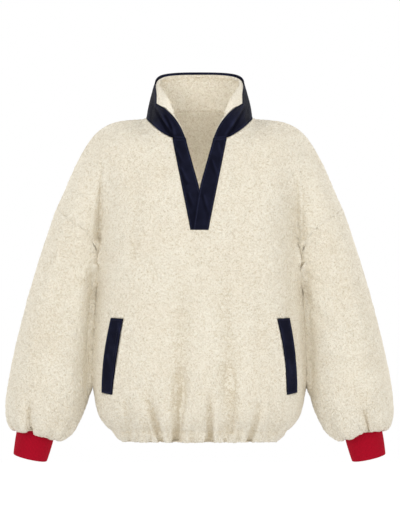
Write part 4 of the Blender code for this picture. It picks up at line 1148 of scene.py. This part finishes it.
MIDDLE = (0, 0, 0)
LEFT_MIDDLE = (SLEEVE_MIDDLE, 0, 0)
RIGHT_MIDDLE = (-SLEEVE_MIDDLE, 0, 0)
front_creases = panel_creases(FRONT_TROUGHS + UNDERARM_RIDGES)
back_creases = panel_creases(BACK_TROUGHS)
left_creases = sleeve_creases(LEFT_SLEEVE_TROUGHS)
right_creases = sleeve_creases(RIGHT_SLEEVE_TROUGHS)
FLEECE_PIECES = (
    Fleece("front", MIDDLE, creased, front_creases, ["back"], SLEEVES, OUTER, BODY_EDGE),
    Fleece("back", MIDDLE, creased, back_creases, ["front", "collar_facing"], SLEEVES, OUTER, BODY_EDGE),
    Fleece("sleeve_left", LEFT_MIDDLE, creased, left_creases, [], PANELS, OUTER, FINE_EDGE),
    Fleece("sleeve_right", RIGHT_MIDDLE, creased, right_creases, [], PANELS, OUTER, FINE_EDGE),
    Fleece("collar_facing", MIDDLE, facing_shape, facing_painted_light, PANELS, [], INNER, FINE_EDGE),
)

shown = {}
for piece in FLEECE_PIECES:
    wall, pile_shading = fleece_wall(piece)
    shown[piece.name] = make_piece(piece.name + "_fleece", wall, fleece, {"curl": pile_shading})
    print(piece.name, "triangles", len(wall.corners))

# %% [markdown]
# ## Woven trim
# The collar, the placket strips and the pocket welts are a firm, dark, closely woven cloth. Its
# threads are half a millimetre apart, too fine for a mesh, so they are relief in the finish. The
# cloth creases in long soft lines where the collar stands open, and those are in the mesh.

# %% The woven cloth
NAVY = (0.0032, 0.0036, 0.0110)
WORN_AND_LIT_NAVY = (0.021, 0.024, 0.056)
THREAD_PITCH = 0.55 * MM

woven = Finish("navy_woven", Roughness=0.72)
warp_wave = woven.node("ShaderNodeMath", {"operation": "SINE"},
                       {0: woven.stored("across") * (2 * math.pi / THREAD_PITCH)})
weft_wave = woven.node("ShaderNodeMath", {"operation": "SINE"},
                       {0: woven.stored("along") * (2 * math.pi / THREAD_PITCH)})
slub = woven.speckle(6 * MM, 3.0)
wear = woven.ramp(woven.speckle(28 * MM, 3.0), 0.35, 0.8)
rim_gap_wire = woven.stored("rim_gap")
edge_highlight_band = woven.ramp(rim_gap_wire, 0.8 * MM, 1.6 * MM) - woven.ramp(rim_gap_wire, 2.6 * MM, 4.2 * MM)
# painted light and shade: a band just inside each edge and the fold ridges are painted paler navy, as
# painted highlights, while the very rim is left dark as painted shadow and fold troughs go darker as
# painted shade; wear and slub are random tone
wear_and_painted_light = wear * 0.3 + slub * 0.15 + edge_highlight_band * 0.35 + woven.stored("fold")
woven.set({
    "Base_Color": woven.shades(wear_and_painted_light, NAVY, WORN_AND_LIT_NAVY),
    "Roughness": 0.62 + slub * 0.2,
    "Specular_IOR_Level": 0.06,
})
woven.relief(warp_wave * weft_wave * 0.5 + slub * 0.8, 0.25 * MM, 0.7)

# %% Folds and rolled edges
COLLAR_TROUGHS = troughs(
    (-54, -36, -73, -4, 1.7, 2.2),
    (-65, -20, -88, 24, 1.7, 2.0),
    (-50, -31, -68, -1, 2.2, -1.2),
    (-61, -14, -82, 24, 2.2, -1.0),
    (-50, -36, -57, -12, 1.7, 1.5),
    (-54, -20, -67, 6, 1.7, 1.5),
    (-46, -30, -60, 6, 2.2, -1.0),
    (-72, -30, -90, -4, 3.2, -0.9),
    (54, -36, 73, -4, 1.7, 1.6),
    (65, -20, 87, 22, 1.7, 1.4),
    (50, -30, 68, 0, 2.2, -1.0),
    (61, -14, 82, 24, 2.2, -0.8),
    (76, -28, 92, -2, 3.2, -0.7),
    (92, -4, 87, 50, 3.0, 1.0),
    (-92, -6, -87, 54, 3.0, 1.2),
    (-84, 22, -82, 60, 2.6, -0.9),
)
COLLAR_BACK_TROUGHS = troughs(
    (-40, 8, -46, 60, 6, 0.9),
    (-8, 80, -2, 24, 7, 0.7),
    (34, 8, 30, 52, 6, 0.9),
    (62, 70, 70, 16, 6, 0.8),
    (-72, 66, -66, 10, 6, 0.8),
)
STRIP_TROUGHS = troughs(
    (-46, -60, -33, -88, 2.4, 0.9),
    (-42, -60, -29, -88, 2.4, -0.8),
    (-36, -100, -22, -128, 2.4, 0.9),
    (-33, -98, -19, -124, 2.4, -0.8),
    (-22, -146, -12, -172, 2.4, 0.7),
    (-19, -144, -9, -168, 2.2, -0.6),
    (6, -150, 18, -188, 2.4, 0.7),
    (10, -150, 20, -182, 2.2, -0.7),
    (22, -84, 36, -120, 2.4, 0.7),
    (26, -84, 40, -118, 2.2, -0.8),
    (36, -50, 44, -74, 2.4, -0.7),
)
WELT_TROUGHS = troughs(
    (-156, -390, -150, -420, 2.4, -0.6),
    (-174, -450, -166, -478, 2.4, -0.6),
    (156, -400, 164, -432, 2.4, -0.6),
    (168, -460, 176, -490, 2.4, -0.6),
)
RIPPLE_SIZE = 14 * MM
RIPPLE = 0.4 * MM
ROLL = 0.45 * MM
ROLL_WIDTH = 1.8 * MM
STITCH_INSET = 3.0 * MM
STITCH_DIP = 0.5 * MM
WOVEN_EDGE = 2.0 * MM
WOVEN_INNER_EDGE = 5 * MM
SEWN_WIDTH = 0.9 * MM
COLLAR_RISE = 2.2 * MM  # of the collar's top edge at the back
COLLAR_SINK = 1.0 * MM  # of its foot, onto the strips
STRIP_RISE = 1.4 * MM  # of a strip's head, under the collar
STRIP_OUT = 0.9 * MM
WELT_FOOT_SKEW = 2.4 * MM
WELT_HEAD_SKEW = 0.9 * MM
FOLD_LIGHT_HEIGHT = 2.4 * MM  # a ridge this high is painted pale, as a painted highlight, and a trough this deep dark, as painted shade
Woven = namedtuple("Woven", "name troughs round")
WOVEN_PIECES = (
    Woven("collar", COLLAR_TROUGHS, 0.085),
    Woven("placket_left", STRIP_TROUGHS, 0.0),
    Woven("placket_right", STRIP_TROUGHS, 0.0),
    Woven("pocket_welt_left", WELT_TROUGHS, 0.0),
    Woven("pocket_welt_right", WELT_TROUGHS, 0.0),
)


def rim_gap(wall):
    """How far each point is from the rim of its cloth."""
    rim = np.unique(wall.corners[wall.sides == RIM])
    tree = KDTree(len(rim))
    for i in rim:
        tree.insert(wall.points[i], int(i))
    tree.balance()
    return np.array([tree.find(point)[2] for point in wall.points])


def seated(name, points):
    """The moves that close the seam between the collar and the strips, lift the collar's back edge
    and set the welts' ends at a slant."""
    moves = np.zeros_like(points)
    if name == "collar":
        top = line_at(points[:, 1], TOP_LINE)
        back = np.clip((points[:, 1] + 0.02) / 0.05, 0, 1)
        moves[:, 2] = COLLAR_RISE * back * np.exp(-(((top - points[:, 2]) / 0.008) ** 2))
        foot = np.exp(-(((points[:, 2] + 0.040) / 0.004) ** 2)) * (points[:, 1] < -0.06)
        moves[:, 2] -= COLLAR_SINK * foot
    if name.startswith("placket"):
        head = np.clip((points[:, 2] + 0.046) / 0.006, 0, 1)
        moves[:, 2] += STRIP_RISE * head
        moves[:, 1] -= STRIP_OUT * head
        moves += foot_drop(points)
    if name.startswith("pocket_welt"):
        low, high = (np.array(corner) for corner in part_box(name))
        up = (points[:, 2] - low[2]) / (high[2] - low[2])
        outer = welt_across(points, up)
        moves[:, 2] += WELT_FOOT_SKEW * (outer + 0.4) * (1 - up) ** 3 + WELT_HEAD_SKEW * outer * up**3
        if name.endswith("right"):
            moves += welt_turn(points)
    return moves


def woven_wall(piece):
    """The trim's mesh arrays, with rolled edges, a line of sewing, ripples and folds, then each point's
    gap to the rim and the folds' painted light and shade: paler on ridges, darker in troughs.
    """
    wall = smooth_wall(piece.name, 3)
    wall = refined(wall, lambda places, sides: np.where(sides == OUTER, WOVEN_EDGE, WOVEN_INNER_EDGE))
    gap = rim_gap(wall)
    uneven = smooth_noise(wall.points, RIPPLE_SIZE, 23)
    pressed = trough_depth(wall.points, piece.troughs)
    if piece.name == "collar":
        in_front = np.clip((0.03 - wall.points[:, 1]) / 0.02, 0, 1)
        behind = trough_depth(wall.points, COLLAR_BACK_TROUGHS)
        pressed = pressed * in_front + behind * (1 - in_front)
    fold = RIPPLE * uneven[:, 0] - pressed
    roll = ROLL * np.exp(-((gap / ROLL_WIDTH) ** 2))
    sewn = STITCH_DIP * np.exp(-(((gap - STITCH_INSET) / SEWN_WIDTH) ** 2)) * (1 + 0.5 * uneven[:, 1])
    moves = np.zeros_like(wall.points)
    moved = np.zeros(len(wall.points), bool)
    for side, height in ((INNER, -fold), (OUTER, fold + roll - sewn)):
        normal, has = side_normals(wall, side)
        moves[has] = (normal * height[:, None])[has]
        moved |= has
    moves = spread_over_rim(wall, moves, moved) + seated(piece.name, wall.points)
    return Wall(wall.points + moves, wall.corners, wall.sides), gap, -pressed / FOLD_LIGHT_HEIGHT


for piece in WOVEN_PIECES:
    wall, gap, tone = woven_wall(piece)
    across = wall.points[:, 0]
    if piece.round:
        across = np.arctan2(wall.points[:, 0], -wall.points[:, 1]) * piece.round
    stored = {"across": across, "along": wall.points[:, 2].copy(), "rim_gap": gap, "fold": tone}
    shown[piece.name] = make_piece(piece.name + "_woven", wall, woven, stored, RIM_ANGLE)
    print(piece.name, "triangles", len(wall.corners))

# %% [markdown]
# ## Stitching
# A line of sewing runs just inside the free edges of each trim. Each stitch is a short thread that
# dives into the cloth at both ends, so a small spindle is enough, and copies of it are laid along
# the edges of the solids, pushed in by the inset and set down on the finished cloth.

# %% Lay the stitches
STITCH_PITCH = 3.2 * MM
STITCH_LENGTH = 2.5 * MM
STITCH_THICKNESS = 0.5 * MM
STITCH_SIDES = 5
STITCH_SINK = 0.35  # how deep its ends dive, in its own thickness
STITCH_FLATNESS = 0.7
STITCH_REACH = 3 * MM  # a place further than this from the finished cloth gets no stitch
thread = Finish("navy_thread", Base_Color=(0.014, 0.016, 0.040), Roughness=0.6)
thread.relief(thread.speckle(0.4 * MM, 1.0), 0.1 * MM)


def edge_samples(name):
    """Points along a trim's free edges, with the way along and the way in."""
    bm = quad_copy(name, Vector((0, 0, 0)))
    samples = []
    for edge in bm.edges:
        outer = [face for face in edge.link_faces if face.material_index == OUTER]
        if len(outer) != 1 or all(face.material_index == OUTER for face in edge.link_faces):
            continue
        start, end = (point.co.copy() for point in edge.verts)
        along = (end - start).normalized()
        inwards = outer[0].calc_center_median() - (start + end) / 2
        inwards = (inwards - along * inwards.dot(along)).normalized()
        if name == "collar" and inwards.z > 0.5:
            continue
        count = max(1, round((end - start).length / STITCH_PITCH))
        for k in range(count):
            samples.append((start.lerp(end, (k + 0.5) / count), along, inwards))
    bm.free()
    return samples


def stitches(name):
    """One mesh with a spindle for each stitch on a trim."""
    cloth = shown[name].data
    faces = [list(face.vertices) for face in cloth.polygons]
    tree = BVHTree.FromPolygons([point.co for point in cloth.vertices], faces)
    ring = np.arange(STITCH_SIDES) / STITCH_SIDES * 2 * math.pi
    profile = ((-1.0, 0.0), (-0.6, 0.85), (0.0, 1.0), (0.6, 0.85), (1.0, 0.0))
    points, quads = [], []
    for middle, along, inwards in edge_samples(name):
        spot, normal, _, gap = tree.find_nearest(middle + inwards * STITCH_INSET)
        if spot is None or gap > STITCH_REACH:
            continue
        beside = along.cross(normal).normalized()
        start = len(points)
        for reach, girth in profile:
            sink = -STITCH_SINK * STITCH_THICKNESS * reach**2
            for angle in ring:
                across = beside * math.cos(angle) + normal * math.sin(angle) * STITCH_FLATNESS
                place = spot + along * (reach * STITCH_LENGTH / 2) + normal * sink
                points.append(place + across * (girth * STITCH_THICKNESS / 2 + 1e-6))
        for row in range(len(profile) - 1):
            for k in range(STITCH_SIDES):
                a = start + row * STITCH_SIDES + k
                b = start + row * STITCH_SIDES + (k + 1) % STITCH_SIDES
                quads.append((a, a + STITCH_SIDES, b + STITCH_SIDES, b))
    return Wall(np.array(points), np.array(quads), None)


sewing = {}
for piece in WOVEN_PIECES:
    wall = stitches(piece.name)
    sewing[piece.name] = make_piece(piece.name + "_stitches", wall, thread)
    print(piece.name, "stitches", len(wall.corners) // (4 * STITCH_SIDES))

# %% [markdown]
# ## Ribbed cuffs
# Each cuff is a tube of rib knit folded double, so its lower edge is a soft roll and the ribs run
# over it. A profile goes down the outside, round the fold and up the inside, and is turned about
# the forearm's axis while a wave round the tube raises the ribs.

# %% The rib knit
CUFF_RED = (0.45, 0.0008, 0.018)
GROOVE_SHADE_RED = (0.31, 0.0003, 0.012)
KNIT_ROW = 1.5 * MM
rib_knit = Finish("red_rib_knit", Roughness=0.85)
stitch_wave = rib_knit.node("ShaderNodeMath", {"operation": "SINE"},
                            {0: rib_knit.stored("along") * (2 * math.pi / KNIT_ROW)})
fuzz = rib_knit.speckle(1.2 * MM, 3.0)
# painted shade: the red goes darker in the grooves between the ribs and lighter on their backs
rib_knit.set({
    "Base_Color": rib_knit.shades(rib_knit.stored("rib") * 0.8 + fuzz * 0.3, GROOVE_SHADE_RED, CUFF_RED),
    "Specular_IOR_Level": 0.15,
    "Sheen_Weight": 0.03,
    "Sheen_Roughness": 0.5,
    "Sheen_Tint": (1.0, 0.2, 0.2),
})
rib_knit.relief(stitch_wave * 0.35 + fuzz, 0.3 * MM)

# %% Turn a ribbed tube
CUFF_TOP = Vector((309.0, 0.0, -588.0)) * MM
CUFF_END = Vector((321.8, 0.0, -645.0)) * MM
CUFF_TOP_RADIUS = 36.3 * MM
CUFF_END_RADIUS = 32.6 * MM
CUFF_WALL = 3.0 * MM
RIBS = 84
RIB_STEPS = 4
RIB_HEIGHT = 0.6 * MM
RIB_ROUNDNESS = 0.7  # the lower, the broader a rib's back and the narrower its groove
CUFF_STATIONS = 26
FOLD_STEPS = 6
CUFF_BULGE = 0.9 * MM
CUFF_DIP = 3.6 * MM  # how much lower the tube's front hangs than its middle


def cuff_profile():
    """Rows of (share of the way down, distance in from the outer face), outside first."""
    roll = CUFF_WALL / 2 / (CUFF_END - CUFF_TOP).length
    down = [(t * (1 - roll), 0.0) for t in np.linspace(0, 1, CUFF_STATIONS)]
    turn = np.linspace(0, math.pi, FOLD_STEPS + 2)[1:-1]
    fold = [(1 - roll + roll * math.sin(a), CUFF_WALL / 2 * (1 - math.cos(a))) for a in turn]
    up = [(t * (1 - roll), CUFF_WALL) for t in np.linspace(1, 0, CUFF_STATIONS // 2)]
    return down + fold + up


def cuff_wall(side):
    """The tube's mesh arrays and what it stores: side is 1 for the left arm and -1 for the right."""
    count = RIBS * RIB_STEPS
    angles = np.arange(count) / count * 2 * math.pi
    ribs = (0.5 + 0.5 * np.cos(angles * RIBS)) ** RIB_ROUNDNESS
    axis = (CUFF_END - CUFF_TOP).normalized()
    outward = Vector((-axis.z, 0.0, axis.x))
    points, rib_share, along = [], [], []
    for share, depth in cuff_profile():
        middle = CUFF_TOP.lerp(CUFF_END, share)
        radius = CUFF_TOP_RADIUS + (CUFF_END_RADIUS - CUFF_TOP_RADIUS) * share
        radius += CUFF_BULGE * math.sin(math.pi * share) - depth
        height = RIB_HEIGHT * (ribs - 1) * (1 if depth < CUFF_WALL / 2 else -1)
        reach = radius + height
        dip = CUFF_DIP * np.sin(angles) * share**2
        x = middle.x + reach * np.cos(angles) * outward.x + dip * axis.x
        z = middle.z + reach * np.cos(angles) * outward.z + dip * axis.z
        y = -reach * np.sin(angles)
        points.append(np.stack([side * x, y, z], axis=1))
        rib_share.append(ribs)
        along.append(np.full(count, share * (CUFF_END - CUFF_TOP).length))
    rows = len(points)
    ring, column = np.meshgrid(np.arange(rows), np.arange(count), indexing="ij")
    after, below = (column + 1) % count, (ring + 1) % rows
    quads = np.stack([ring * count + column, ring * count + after,
                      below * count + after, below * count + column], axis=-1).reshape(-1, 4)
    if side > 0:
        quads = quads[:, ::-1]
    wall = Wall(np.vstack(points), quads, None)
    return wall, {"rib": np.concatenate(rib_share), "along": np.concatenate(along)}


for name, side in (("cuff_left", 1), ("cuff_right", -1)):
    wall, stored = cuff_wall(side)
    shown[name] = make_piece(name + "_rib", wall, rib_knit, stored)
    print(name, "quads", len(wall.corners))

# %% [markdown]
# ## Hand over to the frame
# Each piece rides on the garment's one body and is shown in place of its solid, which is hidden.
# The table lists the flat piece of cloth each was cut from and its solid's finish slot, but nothing
# reads it here.

Cut = namedtuple("Cut", "width length area held rests_on slot")
CUTS = {
    "front": Cut(0.66, 0.70, 0.36, "gathered", ["back"], "fleece"),
    "back": Cut(0.66, 0.73, 0.38, "gathered", ["front"], "fleece"),
    "sleeve_left": Cut(0.48, 0.46, 0.19, "gathered", ["front", "back"], "fleece"),
    "sleeve_right": Cut(0.48, 0.46, 0.19, "gathered", ["front", "back"], "fleece"),
    "collar_facing": Cut(0.42, 0.09, 0.033, "folded", ["front", "back"], "fleece"),
    "collar": Cut(0.42, 0.09, 0.033, "folded", ["front", "back"], "woven_trim"),
    "placket_left": Cut(0.032, 0.18, None, "laid", ["front"], "woven_trim"),
    "placket_right": Cut(0.032, 0.18, None, "laid", ["front"], "woven_trim"),
    "pocket_welt_left": Cut(0.029, 0.147, None, "laid", ["front"], "woven_trim"),
    "pocket_welt_right": Cut(0.029, 0.147, None, "laid", ["front"], "woven_trim"),
    "cuff_left": Cut(0.20, 0.058, None, "stretched", ["sleeve_left"], "rib_knit"),
    "cuff_right": Cut(0.20, 0.058, None, "stretched", ["sleeve_right"], "rib_knit"),
}
for name, cut in CUTS.items():
    piece = shown[name]
    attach(piece, "root")
    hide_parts(name)
    extra = [sewing[name]] if name in sewing else []
    for part in extra:
        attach(part, "root")
print("sheets", len(CUTS))
